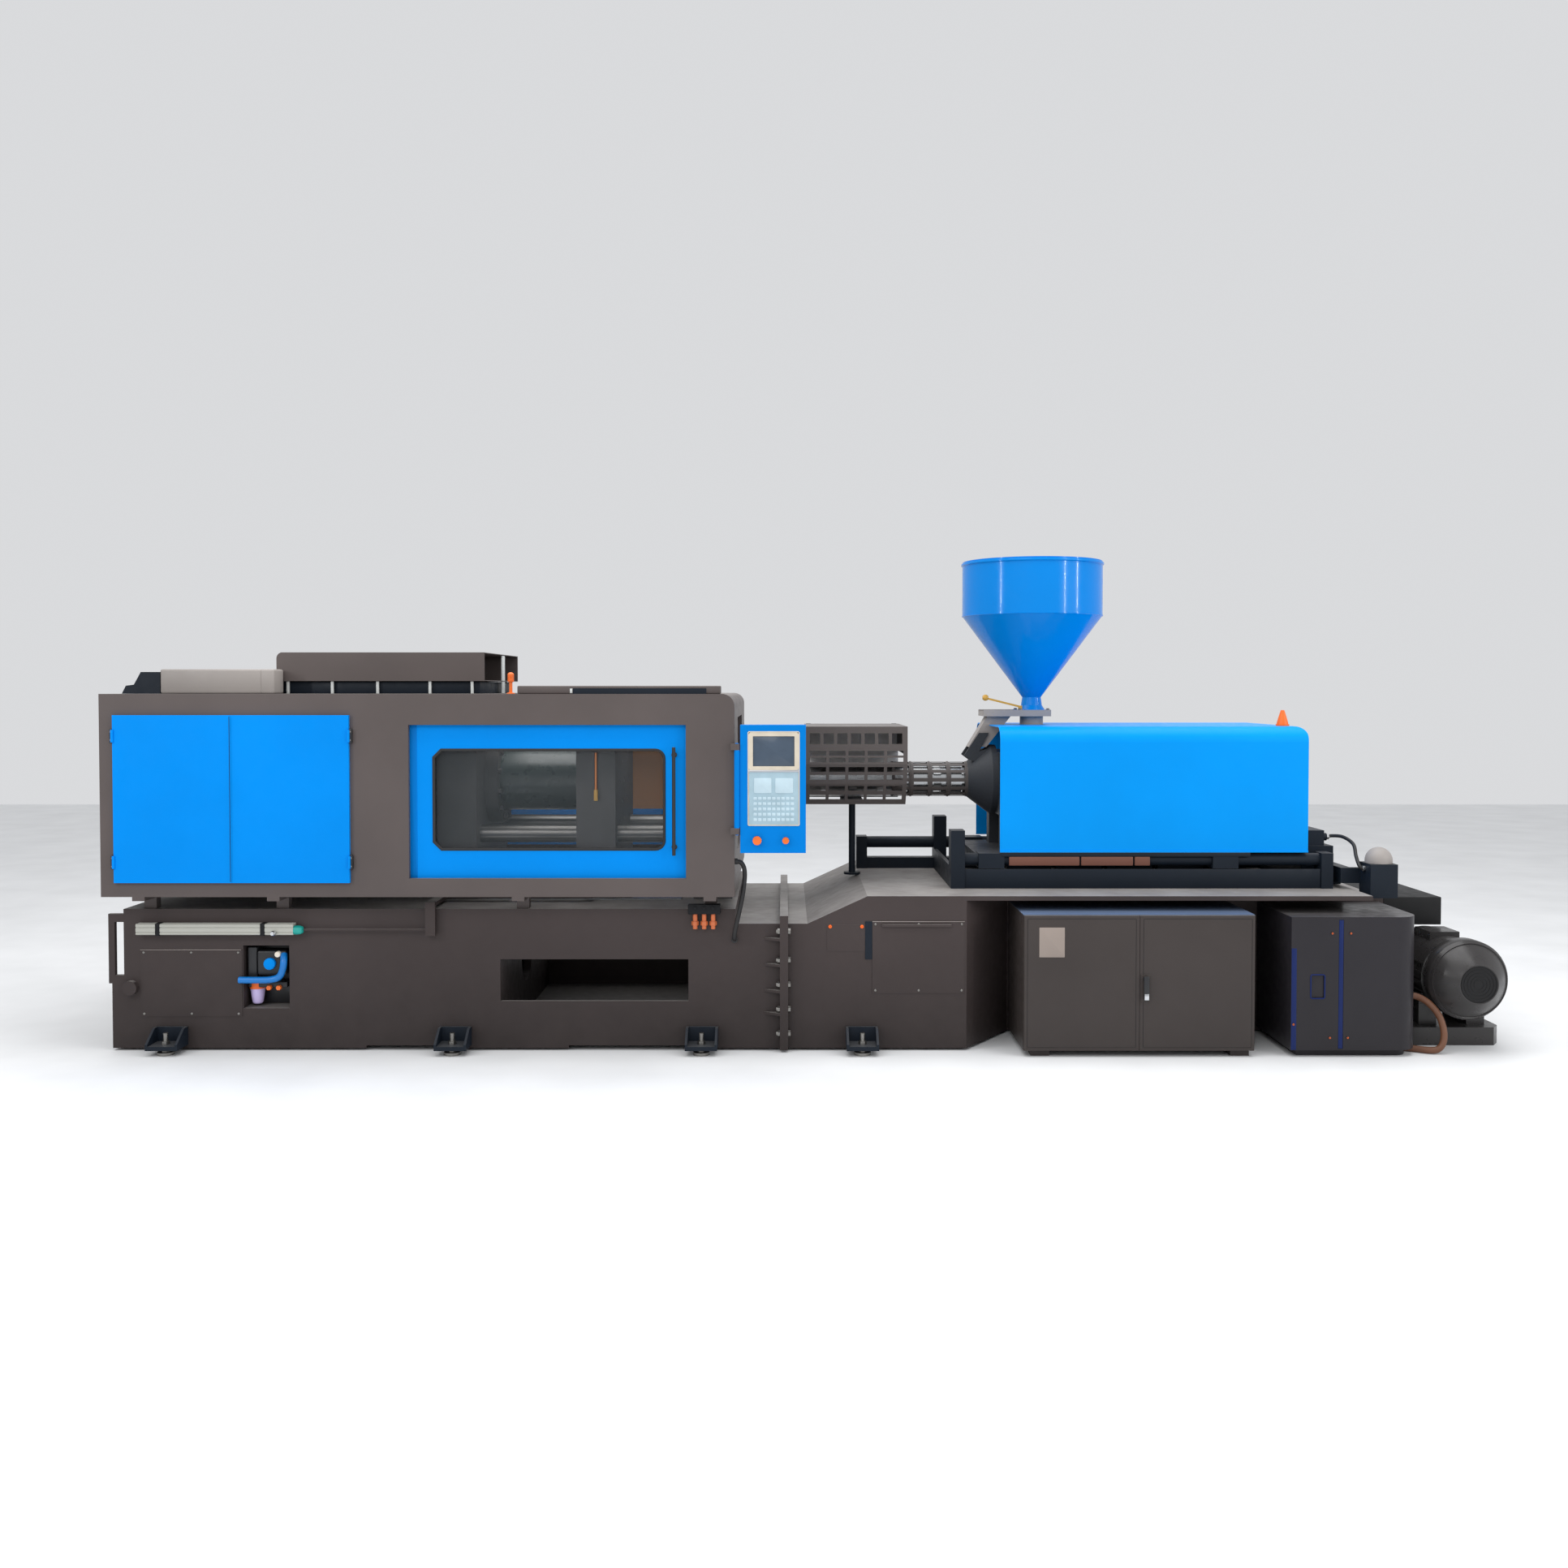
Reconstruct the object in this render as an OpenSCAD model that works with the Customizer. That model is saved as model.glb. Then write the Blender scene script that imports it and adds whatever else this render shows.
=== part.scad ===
// Horizontal injection moulding machine, clamp unit at the left and injection unit at the right.
// The origin lies on the floor, midway along and across the machine.

/* [Beds] */
// Length of the clamp bed, from its left end to the joint between the beds
clamp_bed_l = 3295; // [3250:5:3500]
// Length of the injection bed, from the joint to the end of its tank
injection_bed_l = 3090; // [3050:5:3300]
// Width of both beds over their side walls
bed_w = 1440; // [1380:10:1500]
// Height of the clamp bed's top plate above the floor
clamp_bed_h = 697; // [680:1:720]
// Height of both beds at the joint
joint_h = 625; // [600:5:670]
// Height of the table that carries the injection unit
table_h = 760; // [740:5:790]
// Thickness of the bed walls
bed_wall = 20; // [15:1:30]
// Thickness of the bed top plates
bed_top_t = 30; // [25:1:40]
// Thickness of each joint flange
flange_t = 20; // [16:1:30]
// Reach of the joint flanges and gussets beyond the walls
flange_reach = 45; // [40:1:60]
// Length of the drop opening
drop_l = 922; // [800:1:940]
// Height of the drop opening
drop_h = 206; // [150:1:230]
// Width of a foot bracket
foot_w = 156; // [130:1:180]
// Height of a foot bracket
foot_h = 120; // [110:5:160]
// Reach of a foot bracket beyond the bed wall
foot_reach = 130; // [110:5:150]

/* [Clamp unit] */
// Height of the clamp and screw axis above the floor
axis_h = 1290; // [1270:1:1310]
// Width and height of the platens
platen_w = 840; // [820:5:860]
// Thickness of the fixed and the moving platen
platen_t = 200; // [180:5:210]
// Space between the platens as they stand
mould_gap = 395; // [380:5:420]
// Radius of a tie bar
tie_bar_r = 45; // [38:1:50]
// Distance between tie bars across the machine
tie_bar_dy = 600; // [590:5:620]
// Distance between tie bars in height
tie_bar_dz = 530; // [520:5:560]
// Radius of the clamp ram
ram_r = 165; // [140:1:170]
// Radius of the clamp cylinder over its tube
cylinder_r = 280; // [260:5:290]
// Length of the clamp cylinder behind its platen
cylinder_l = 860; // [840:5:900]
// Opening travel of the moving platen from where it stands
clamp_open = 400; // [360:5:420]
// Radius of the bore for a mould's locating ring
locating_r = 80; // [62.5:0.5:90]
// Distance between the outer mould fixing holes
fixing_pitch = 420; // [380:10:440]
// Radius of a mould fixing hole
fixing_r = 10; // [8:1:12]
// Travel of the ejector
ejector_travel = 60; // [40:5:60]

/* [Guard] */
// Length of the guard casing
guard_l = 3054; // [3000:1:3080]
// Height of the guard casing
guard_h = 979; // [975:1:1010]
// Width of the guard casing over its side sheets
guard_w = 1660; // [1640:10:1680]
// Height of the gap between the clamp bed and the guard
guard_gap = 75; // [60:1:85]
// Thickness of the guard's folded sheet walls
sheet_t = 25; // [20:1:30]
// Width of the sliding door's opening
door_w = 1334; // [1300:1:1350]
// Height of the sliding door's opening
door_h = 741; // [700:1:750]
// Thickness of a sliding door
door_t = 25; // [20:1:28]
// Width of a window in a sliding door
window_w = 1108; // [1000:1:1120]
// Height of a window in a sliding door
window_h = 476; // [420:1:480]
// Width of one hinged cover door
cover_w = 567; // [540:1:570]
// Height of a hinged cover door
cover_h = 807; // [780:1:820]
// Thickness of a hinged cover door
cover_t = 18; // [14:1:20]

/* [Operator panel] */
// Width of the operator panel
panel_w = 315; // [290:1:330]
// Height of the operator panel
panel_h = 615; // [560:5:640]
// Depth of the operator panel
panel_d = 100; // [80:5:110]

/* [Injection unit] */
// Outer radius of the barrel
barrel_r = 65; // [58:1:68]
// Radius of the barrel's bore
bore_r = 30; // [25:1:35]
// Pitch of the screw's flight
screw_pitch = 75; // [60:5:90]
// Radius of the slotted barrel cover
barrel_cover_r = 92; // [90:1:96]
// Length of the slotted barrel cover
barrel_cover_l = 406; // [350:1:410]
// Length of the purge guard
purge_l = 526; // [480:1:530]
// Height of the purge guard
purge_h = 413; // [400:1:430]
// Width of the purge guard
purge_w = 620; // [600:10:640]
// Length of the injection cover
hood_l = 1566; // [1500:1:1600]
// Height of the injection cover
hood_h = 640; // [610:1:660]
// Width of the injection cover
hood_w = 900; // [880:10:920]
// Radius of the injection cover's upper edges
hood_r = 80; // [50:5:100]
// Travel of the injection unit away from the platen
carriage_travel = 350; // [250:10:350]
// Injection stroke of the screw
screw_travel = 220; // [150:10:220]
// Radius of a guide shaft of the injection unit
shaft_r = 32; // [28:1:36]

/* [Hopper] */
// Radius of the hopper
hopper_r = 372; // [340:1:380]
// Height of the hopper's straight wall
hopper_wall_h = 283; // [260:1:320]
// Height of the hopper's cone
hopper_cone_h = 435; // [430:1:480]
// Radius of the hopper's neck
neck_r = 50; // [40:1:60]
// Thickness of the hopper's wall
hopper_t = 4; // [3:0.5:6]

/* [Cabinets] */
// Width of the electrical cabinet
cabinet_w = 1116; // [1060:2:1130]
// Height of both cabinets' tops above the floor
cabinet_top = 686; // [660:1:700]
// Depth of both cabinets
cabinet_d = 500; // [480:5:510]
// Width of the service cabinet
service_w = 624; // [580:1:640]
// Radius of the service cabinet's front corner
service_r = 100; // [80:5:180]

/* [Hydraulics] */
// Radius of the pump motor's fan cowl
cowl_r = 197; // [180:1:200]
// Height of the pump motor's axis above the floor
motor_h = 347; // [330:1:360]
// Radius of the oil filter's bowl
filter_r = 65; // [50:1:66]

/* [Hidden] */
$fn = 48;

// Colours
bed_grey = [0.33, 0.30, 0.29];
guard_grey = [0.36, 0.34, 0.33];
dark_grey = [0.17, 0.17, 0.18];
blue = [0.02, 0.53, 0.90];
steel = [0.62, 0.63, 0.65];
pale = [0.72, 0.72, 0.70];
orange = [0.90, 0.40, 0.10];

// Main planes
joint_x = -130;
left_x = joint_x - clamp_bed_l;
wall_y = bed_w / 2;
floor_gap = 12;
guard_x1 = joint_x - 238;
guard_x0 = guard_x1 - guard_l;
guard_z0 = clamp_bed_h + guard_gap;
guard_z1 = guard_z0 + guard_h;
guard_y = guard_w / 2;
fit_gap = 0.3;
run_gap = 0.05;

// Platens and ram
fixed_x1 = guard_x1 - sheet_t - 2;
fixed_x0 = fixed_x1 - platen_t;
moving_x1 = fixed_x0 - mould_gap;
moving_x0 = moving_x1 - platen_t;
gland_t = 70;
gland_x1 = moving_x0 - clamp_open - 40;
rear_x1 = gland_x1 - gland_t;
rear_x0 = rear_x1 - platen_t;
cylinder_x0 = rear_x0 - cylinder_l;
nut_t = 60;
nut_r = 72;
platen_z0 = axis_h - platen_w / 2;
shoe_y0 = 335;
shoe_y1 = 405;
slideway_t = 8;
cavity_x0 = moving_x0 + 40;
cavity_x1 = moving_x1 - 50;
cavity_w = 330;

// Guard openings
door_x1 = guard_x1 - 234;
door_x0 = door_x1 - door_w;
door_z0 = guard_z0 + 89;
door_z1 = door_z0 + door_h;
door_lap = 12;
door_y = guard_y - sheet_t - 4;
door_travel = 1150;
window_x0 = door_x0 + 117;
window_x1 = window_x0 + window_w;
window_z0 = door_z0 + 141;
window_z1 = window_z0 + window_h;
cover_x0 = guard_x0 + 71;
cover_x2 = cover_x0 + 2 * cover_w;
cover_z0 = guard_z0 + 70;
cover_z1 = cover_z0 + cover_h;
casing_y = 600;

// Transducer beside the clamp bed
rod_z = 599;
rod_y = wall_y + 26;
sensor_x0 = left_x + 139;
sensor_x1 = sensor_x0 + 766;
follower_x = moving_x0 - 665;

// Drop opening and lubricator recess in the clamp bed
drop_x1 = joint_x - 469;
drop_x0 = drop_x1 - drop_l;
drop_z0 = 244;
notch_l = 59;
notch_z = 331;
recess_x0 = left_x + 644;
recess_x1 = recess_x0 + 226;
recess_z0 = 208;
recess_z1 = 518;
recess_d = 120;
foot_xs = [left_x + 292, left_x + 1684, left_x + 2894, joint_x + 381];
rear_foot_xs = [left_x + 292, left_x + 1684, left_x + 2894, joint_x + 381, joint_x + 1630, joint_x + 2830];
flange_bolt_zs = [90, 210, 330, 450, 590];

// Injection bed
ramp_x0 = joint_x + 115;
ramp_x1 = joint_x + 409;
pocket_x0 = joint_x + 895;
pocket_x1 = joint_x + 1152;
pocket_y = 350;
table_x1 = joint_x + 2885;
table_t = 22;
body_x1 = joint_x + injection_bed_l;
tank_x1 = body_x1 + 300;
tank_z0 = 560;
tank_z1 = 700;

// Injection unit
hood_x0 = joint_x + 1098;
hood_x1 = hood_x0 + hood_l;
hood_z0 = 944;
hood_z1 = hood_z0 + hood_h;
feed_x = joint_x + 1333;
nozzle_x = fixed_x0 + 64;
barrel_x0 = joint_x - 120;
barrel_x1 = feed_x + 270;
housing_x0 = joint_x + 983;
housing_x1 = feed_x + 127;
purge_x0 = joint_x + 114;
purge_x1 = purge_x0 + purge_l;
purge_z0 = axis_h - 123;
purge_z1 = purge_z0 + purge_h;
purge_y = purge_w / 2;
cover_tube_x1 = housing_x0;
cover_tube_x0 = cover_tube_x1 - barrel_cover_l;
shaft_y = 410;
shaft_z = 905;
shaft_x0 = joint_x + 410;
shaft_x1 = joint_x + 2790;
base_z0 = 868;
base_z1 = 925;
base_x0 = joint_x + 990;
base_x1 = hood_x1 + 10;
cylinder_y = 205;
push_x0 = housing_x1;
push_x1 = push_x0 + 420;
thrust_x0 = push_x1 + 20;
thrust_x1 = thrust_x0 + 80;
valve_x0 = base_x1;
valve_x1 = valve_x0 + 205;

// Hopper
slide_z0 = hood_z1 + 45;
slide_z1 = slide_z0 + 24;
slide_x0 = feed_x - 272;
slide_x1 = feed_x + 88;
hopper_z0 = slide_z1 + fit_gap;
cone_z0 = hopper_z0 + 77;
wall_z0 = cone_z0 + hopper_cone_h;
hopper_z1 = wall_z0 + hopper_wall_h;

// Operator panel and its hinge
panel_x0 = guard_x1 + 28;
panel_x1 = panel_x0 + panel_w;
panel_z0 = 987;
panel_z1 = panel_z0 + panel_h;
panel_y0 = -guard_y - 20;
hinge_x = guard_x1 + 12;
hinge_y = panel_y0;
screen_x0 = panel_x0 + 36;
screen_x1 = panel_x1 - 30;
screen_z1 = panel_z1 - 31;
screen_z0 = panel_z0 + 132;
button_z = panel_z0 + 62;
stop_x = panel_x0 + 81;
start_x = panel_x0 + 218;

// Cabinets
cabinet_x0 = joint_x + 1154;
cabinet_x1 = cabinet_x0 + cabinet_w;
cabinet_z0 = 31;
cabinet_y0 = -pocket_y - cabinet_d;
cabinet_door_t = 18;
cabinet_mid = (cabinet_x0 + cabinet_x1) / 2;
handle_x = cabinet_mid + 28;
handle_z = 350;
service_x0 = joint_x + 2441;
service_x1 = service_x0 + service_w;
service_z0 = 34;

// Pump group
motor_x = joint_x + 3356;
motor_y0 = -830;
stator_r = cowl_r - 17;
skid_x0 = body_x1;
skid_x1 = motor_x + 219;
skid_z1 = 90;
filter_x = joint_x + 2990;
filter_y = -530;

module block(x, y, z) {
    translate([x[0], y[0], z[0]]) cube([x[1] - x[0], y[1] - y[0], z[1] - z[0]]);
}

module bar_x(x, y, z, r) {
    translate([x[0], y, z]) rotate([0, 90, 0]) cylinder(r = r, h = x[1] - x[0]);
}

module bar_y(y, x, z, r) {
    translate([x, y[0], z]) rotate([-90, 0, 0]) cylinder(r = r, h = y[1] - y[0]);
}

module bar_z(z, x, y, r) {
    translate([x, y, z[0]]) cylinder(r = r, h = z[1] - z[0]);
}

// Hexagon along X with its axis at y, z
module hex_x(x, y, z, r) {
    translate([x[0], y, z]) rotate([0, 90, 0]) cylinder(r = r, h = x[1] - x[0], $fn = 6);
}

// Outline in X and Z, carried along Y
module profile_y(y) {
    translate([0, y[1], 0]) rotate([90, 0, 0]) linear_extrude(y[1] - y[0]) children();
}

// Outline in Y and Z, carried along X
module profile_x(x) {
    translate([x[0], 0, 0]) rotate([90, 0, 90]) linear_extrude(x[1] - x[0]) children();
}

// The same on both sides of the machine's middle plane
module both_sides() {
    children();
    mirror([0, 1, 0]) children();
}

// Tube along a route, one polyhedron with eight sides
function unit(v) = v / norm(v);
function heading(p, i) = unit(p[min(i + 1, len(p) - 1)] - p[max(i - 1, 0)]);
module tube_along(p, r) {
    sides = 8;
    n = len(p);
    rings = [for (i = [0:n - 1]) let (t = heading(p, i), u = unit(cross(t, abs(t[2]) > 0.9 ? [0, 1, 0] : [0, 0, 1])),
        w = cross(t, u)) for (k = [0:sides - 1]) p[i] + r * (cos(k * 360 / sides) * u + sin(k * 360 / sides) * w)];
    walls = [for (i = [0:n - 2], k = [0:sides - 1]) let (j = (k + 1) % sides)
        [i * sides + k, (i + 1) * sides + k, (i + 1) * sides + j, i * sides + j]];
    ends = [[for (k = [0:sides - 1]) k], [for (k = [sides - 1:-1:0]) (n - 1) * sides + k]];
    polyhedron(points = rings, faces = concat(walls, ends));
}

// Points of a smooth curve through the route's own points
function blend(a, b, c, d, t) = 0.5 * ((2 * b) + (c - a) * t + (2 * a - 5 * b + 4 * c - d) * t * t
    + (3 * b - a - 3 * c + d) * t * t * t);
function smooth(p, k) = concat([for (i = [0:len(p) - 2], j = [0:k - 1])
    blend(p[max(i - 1, 0)], p[i], p[i + 1], p[min(i + 2, len(p) - 1)], j / k)], [p[len(p) - 1]]);

// Upright plate of the joint between the beds, with bolt holes in its reach
module joint_flange(x) {
    difference() {
        block(x, [-wall_y - flange_reach, wall_y + flange_reach], [floor_gap, joint_h + flange_reach]);
        block([x[0] - 1, x[1] + 1], [-wall_y + bed_wall, wall_y - bed_wall], [floor_gap + bed_wall, joint_h - bed_top_t]);
        both_sides() for (z = flange_bolt_zs)
            bar_x([x[0] - 1, x[1] + 1], wall_y + flange_reach / 2, z, 11);
    }
}

module clamp_bed() {
    step_x = guard_x1;
    inner_y = wall_y - bed_wall;
    inner_top = clamp_bed_h - bed_top_t;
    webs = [left_x + notch_l + bed_wall, left_x + 595, left_x + 1245, drop_x0 - bed_wall, drop_x1 + bed_wall];
    color(bed_grey) difference() {
        union() {
            difference() {
                profile_y([-wall_y, wall_y]) polygon([[left_x, floor_gap], [left_x, notch_z], [left_x + notch_l, notch_z],
                    [left_x + notch_l, clamp_bed_h], [step_x, clamp_bed_h], [step_x, joint_h],
                    [joint_x - flange_t, joint_h], [joint_x - flange_t, floor_gap]]);
                for (i = [0:2])
                    block([webs[i], webs[i + 1] - bed_wall], [-inner_y, inner_y], [floor_gap + bed_wall, inner_top]);
                block([drop_x0, drop_x1], [-inner_y, inner_y], [floor_gap + bed_wall, inner_top]);
                block([webs[4], joint_x - flange_t + 1], [-inner_y, inner_y], [floor_gap + bed_wall, joint_h - bed_top_t]);
                bar_x([webs[0] + 1, webs[4] + 1], 0, 350, 150);
                // Chute down from the mould space
                block([drop_x0 + 40, fixed_x0 - 30], [-300, 300], [inner_top - 1, clamp_bed_h + 1]);
                both_sides() block([drop_x0, drop_x1], [inner_y - 1, wall_y + 1], [drop_z0, drop_z0 + drop_h]);
                // Shallow arches along the floor
                for (x = [[left_x + 1244, left_x + 1582], [left_x + 2238, joint_x - 460]])
                    block(x, [-wall_y - 1, wall_y + 1], [0, floor_gap + 13]);
            }
            joint_flange([joint_x - flange_t, joint_x]);
            both_sides() for (z = [180, 291, 419, 546])
                profile_z([z, z + 12]) polygon([[joint_x - flange_t, wall_y], [joint_x - flange_t, wall_y + flange_reach],
                    [joint_x - 100, wall_y]]);
            // Lifting lugs at the left end
            both_sides() difference() {
                block([left_x - 16, left_x + notch_l], [wall_y - 25, wall_y], [notch_z, notch_z + 342]);
                block([left_x + 14, left_x + notch_l + 1], [wall_y - 26, wall_y + 1], [notch_z + 40, notch_z + 302]);
            }
            block([recess_x0 - 10, recess_x1 + 10], [-wall_y, -wall_y + recess_d + 10], [recess_z0 - 10, recess_z1 + 10]);
            // Pipe stub at the left end
            bar_y([-wall_y - 30, -wall_y], left_x + 96, 312, 35);
        }
        block([recess_x0, recess_x1], [-wall_y - 1, -wall_y + recess_d], [recess_z0, recess_z1]);
    }
}

// Outline in X and Y, carried along Z
module profile_z(z) {
    translate([0, 0, z[0]]) linear_extrude(z[1] - z[0]) children();
}

module injection_bed() {
    inner_y = wall_y - bed_wall;
    color(bed_grey) difference() {
        union() {
            profile_y([-wall_y, wall_y]) polygon([[joint_x + flange_t, floor_gap], [joint_x + flange_t, joint_h],
                [ramp_x0, joint_h], [ramp_x1, table_h], [pocket_x0, table_h], [pocket_x0, floor_gap]]);
            block([pocket_x0, table_x1], [-wall_y, wall_y], [table_h - table_t, table_h]);
            profile_z([floor_gap, table_h - table_t]) polygon([[pocket_x0, -wall_y], [pocket_x1, -pocket_y],
                [body_x1, -pocket_y], [body_x1, wall_y], [pocket_x0, wall_y]]);
            block([body_x1, tank_x1], [-pocket_y, wall_y], [tank_z0, tank_z1]);
            joint_flange([joint_x, joint_x + flange_t]);
        }
        // Hollow bays, joined by one large opening in their webs
        block([joint_x + flange_t - 1, joint_x + 400], [-inner_y, inner_y], [floor_gap + bed_wall, joint_h - bed_top_t]);
        block([joint_x + 420, pocket_x0], [-inner_y, inner_y], [floor_gap + bed_wall, table_h - table_t]);
        block([pocket_x1, joint_x + 2000], [-pocket_y + bed_wall, inner_y], [floor_gap + bed_wall, table_h - table_t]);
        block([joint_x + 2020, table_x1 - 20], [-pocket_y + bed_wall, inner_y], [floor_gap + bed_wall, tank_z1 - 40]);
        bar_x([joint_x + 300, joint_x + 2100], 100, 330, 150);
        block([body_x1 + 10, tank_x1 - 10], [-pocket_y + 10, wall_y - 10], [tank_z0 + 10, tank_z1 - 10]);
        block([table_x1 - 21, body_x1 + 11], [100, 300], [tank_z0 + 20, tank_z1 - 50]);
        block([table_x1, body_x1 + 1], [-pocket_y - 1, wall_y + 1], [tank_z1, table_h]);
    }
}

module foot_bracket() {
    plate_t = 20;
    difference() {
        union() {
            block([-foot_w / 2, foot_w / 2], [0, foot_reach], [30, 30 + plate_t]);
            for (x = [-foot_w / 2, foot_w / 2 - 12]) translate([x, 0, 0])
                profile_x([0, 12]) polygon([[0, 30], [foot_reach, 30], [foot_reach, 60], [45, foot_h], [0, foot_h]]);
            block([-foot_w / 2, foot_w / 2], [0, 14], [30, foot_h]);
        }
        bar_z([29, 51], 0, foot_reach - 55, 14);
    }
}

module at_each_foot() {
    for (x = foot_xs) translate([x, -wall_y, 0]) mirror([0, 1, 0]) children();
    for (x = rear_foot_xs) translate([x, wall_y, 0]) children();
}

module foot_brackets() {
    color(bed_grey) at_each_foot() foot_bracket();
}

module frame_bolts() {
    color(steel) at_each_foot() translate([0, foot_reach - 55, 0]) {
        cylinder(r = 40, h = 14);
        cylinder(r = 12, h = 105);
        cylinder(r = 20, h = 30, $fn = 6);
        translate([0, 0, 50]) cylinder(r = 20, h = 16, $fn = 6);
    }
    color(steel) both_sides() for (z = flange_bolt_zs) {
        bar_x([joint_x - flange_t - 18, joint_x + flange_t + 12], wall_y + flange_reach / 2, z, 10);
        hex_x([joint_x - flange_t - 12, joint_x - flange_t], wall_y + flange_reach / 2, z, 16);
        hex_x([joint_x + flange_t, joint_x + flange_t + 12], wall_y + flange_reach / 2, z, 16);
    }
}

module slideways() {
    color(steel) both_sides()
        block([moving_x0 - clamp_open - 60, fixed_x0 - 60], [shoe_y0 - 10, shoe_y1 + 10], [clamp_bed_h, clamp_bed_h + slideway_t]);
}

// Screwed covers and bare plates on the front walls of the beds
module bed_covers() {
    color(bed_grey) {
        block([left_x + 140, recess_x0 - 6], [-wall_y - 3, -wall_y], [168, 498]);
        block([joint_x + 433, joint_x + 885], [-wall_y - 3, -wall_y], [283, 637]);
        block([joint_x + 211, joint_x + 397], [-wall_y - 2, -wall_y], [490, 622]);
        block([joint_x + 480, joint_x + 820], [-wall_y - 12, -wall_y - 3], [610, 622]);
    }
}

// Platen with its four tie bar holes
module platen_body(x, hole_r) {
    difference() {
        block(x, [-platen_w / 2, platen_w / 2], [platen_z0, platen_z0 + platen_w]);
        for (y = [-1, 1], z = [-1, 1])
            bar_x([x[0] - 1, x[1] + 1], y * tie_bar_dy / 2, axis_h + z * tie_bar_dz / 2, hole_r);
        // Chamfered outer corners
        for (y = [-1, 1], z = [-1, 1]) translate([x[0] - 1, y * platen_w / 2, axis_h + z * platen_w / 2])
            rotate([45, 0, 0]) translate([0, -40, -40]) cube([x[1] - x[0] + 2, 80, 80]);
    }
}

// Mould fixing holes, four at the corners of a square and four midway
module fixing_holes(x) {
    for (y = [-1, 0, 1], z = [-1, 0, 1]) if (y != 0 || z != 0)
        bar_x(x, y * fixing_pitch / 2, axis_h + z * fixing_pitch / 2, fixing_r);
}

module fixed_platen() {
    color(guard_grey) difference() {
        union() {
            platen_body([fixed_x0, fixed_x1], tie_bar_r + 0.3);
            both_sides() block([fixed_x0, fixed_x1], [250, platen_w / 2 - 40], [clamp_bed_h, platen_z0 + 60]);
        }
        for (y = [-1, 1], z = [-1, 1])
            bar_x([fixed_x1 - nut_t, fixed_x1 + 1], y * tie_bar_dy / 2, axis_h + z * tie_bar_dz / 2, nut_r + 8);
        fixing_holes([fixed_x0 - 1, fixed_x0 + 60]);
        bar_x([fixed_x0 - 1, fixed_x1 + 1], 0, axis_h, locating_r);
        translate([fixed_x0 + 60, 0, axis_h]) rotate([0, 90, 0])
            cylinder(r1 = locating_r, r2 = locating_r + 80, h = platen_t - 59);
    }
}

module tie_bars() {
    color(steel) for (y = [-1, 1], z = [-1, 1])
        bar_x([rear_x0 - nut_t - 20, fixed_x1 - 4], y * tie_bar_dy / 2, axis_h + z * tie_bar_dz / 2, tie_bar_r);
}

module tie_bar_nuts() {
    color(dark_grey) for (y = [-1, 1], z = [-1, 1], x = [rear_x0 - nut_t, fixed_x1 - nut_t]) difference() {
        hex_x([x, x + nut_t - 4], y * tie_bar_dy / 2, axis_h + z * tie_bar_dz / 2, nut_r);
        bar_x([x - 1, x + nut_t], y * tie_bar_dy / 2, axis_h + z * tie_bar_dz / 2, tie_bar_r + run_gap);
    }
    color(dark_grey) for (y = [-1, 1], z = [-1, 1]) difference() {
        bar_x([rear_x0 - 4, rear_x0], y * tie_bar_dy / 2, axis_h + z * tie_bar_dz / 2, nut_r);
        bar_x([rear_x0 - 5, rear_x0 + 1], y * tie_bar_dy / 2, axis_h + z * tie_bar_dz / 2, tie_bar_r + run_gap);
    }
}

module cylinder_platen() {
    color(guard_grey) difference() {
        union() {
            platen_body([rear_x0, rear_x1], tie_bar_r + 0.3);
            both_sides() block([rear_x0, rear_x1], [250, platen_w / 2 - 40], [clamp_bed_h, platen_z0 + 60]);
            bar_x([rear_x1, gland_x1], 0, axis_h, ram_r + 70);
        }
        bar_x([rear_x0 - 1, gland_x1 + 1], 0, axis_h, ram_r + run_gap);
    }
    // Gland bolts in a ring
    color(dark_grey) for (a = [15:30:345])
        hex_x([gland_x1, gland_x1 + 16], (ram_r + 42) * cos(a), axis_h + (ram_r + 42) * sin(a), 15);
}

module clamp_cylinder() {
    color(dark_grey) difference() {
        union() {
            bar_x([cylinder_x0, rear_x0], 0, axis_h, cylinder_r - 20);
            bar_x([rear_x0 - 60, rear_x0], 0, axis_h, cylinder_r);
            bar_x([cylinder_x0, cylinder_x0 + 70], 0, axis_h, cylinder_r);
            both_sides() block([cylinder_x0, cylinder_x0 + 70], [100, 180], [clamp_bed_h, axis_h - 150]);
        }
        bar_x([cylinder_x0 + 60, rear_x0 + 1], 0, axis_h, cylinder_r - 50);
    }
}

module transducer_body() {
    color(pale) difference() {
        union() {
            block([sensor_x0, sensor_x1], [-rod_y - 22, -wall_y], [rod_z - 19, rod_z + 32]);
            bar_x([sensor_x1, sensor_x1 + 45], -rod_y, rod_z, 22);
        }
        bar_x([sensor_x0 + 100, sensor_x1 + 46], -rod_y, rod_z, 5 + fit_gap);
    }
}

module transducer_rod() {
    yoke = [follower_x - 24, follower_x + 24];
    color(steel) {
        bar_x([sensor_x0 + 560, follower_x], -rod_y, rod_z, 5);
        block(yoke, [-rod_y - 12, -rod_y + 12], [571, clamp_bed_h + 23]);
        block(yoke, [-rod_y - 12, -460], [clamp_bed_h + 18, clamp_bed_h + 38]);
        block([follower_x - 24, moving_x0 + 90], [-490, -460], [clamp_bed_h + 18, clamp_bed_h + 38]);
        block([moving_x0 + 60, moving_x0 + 90], [-490, -shoe_y1], [clamp_bed_h + 18, clamp_bed_h + 38]);
    }
}

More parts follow.
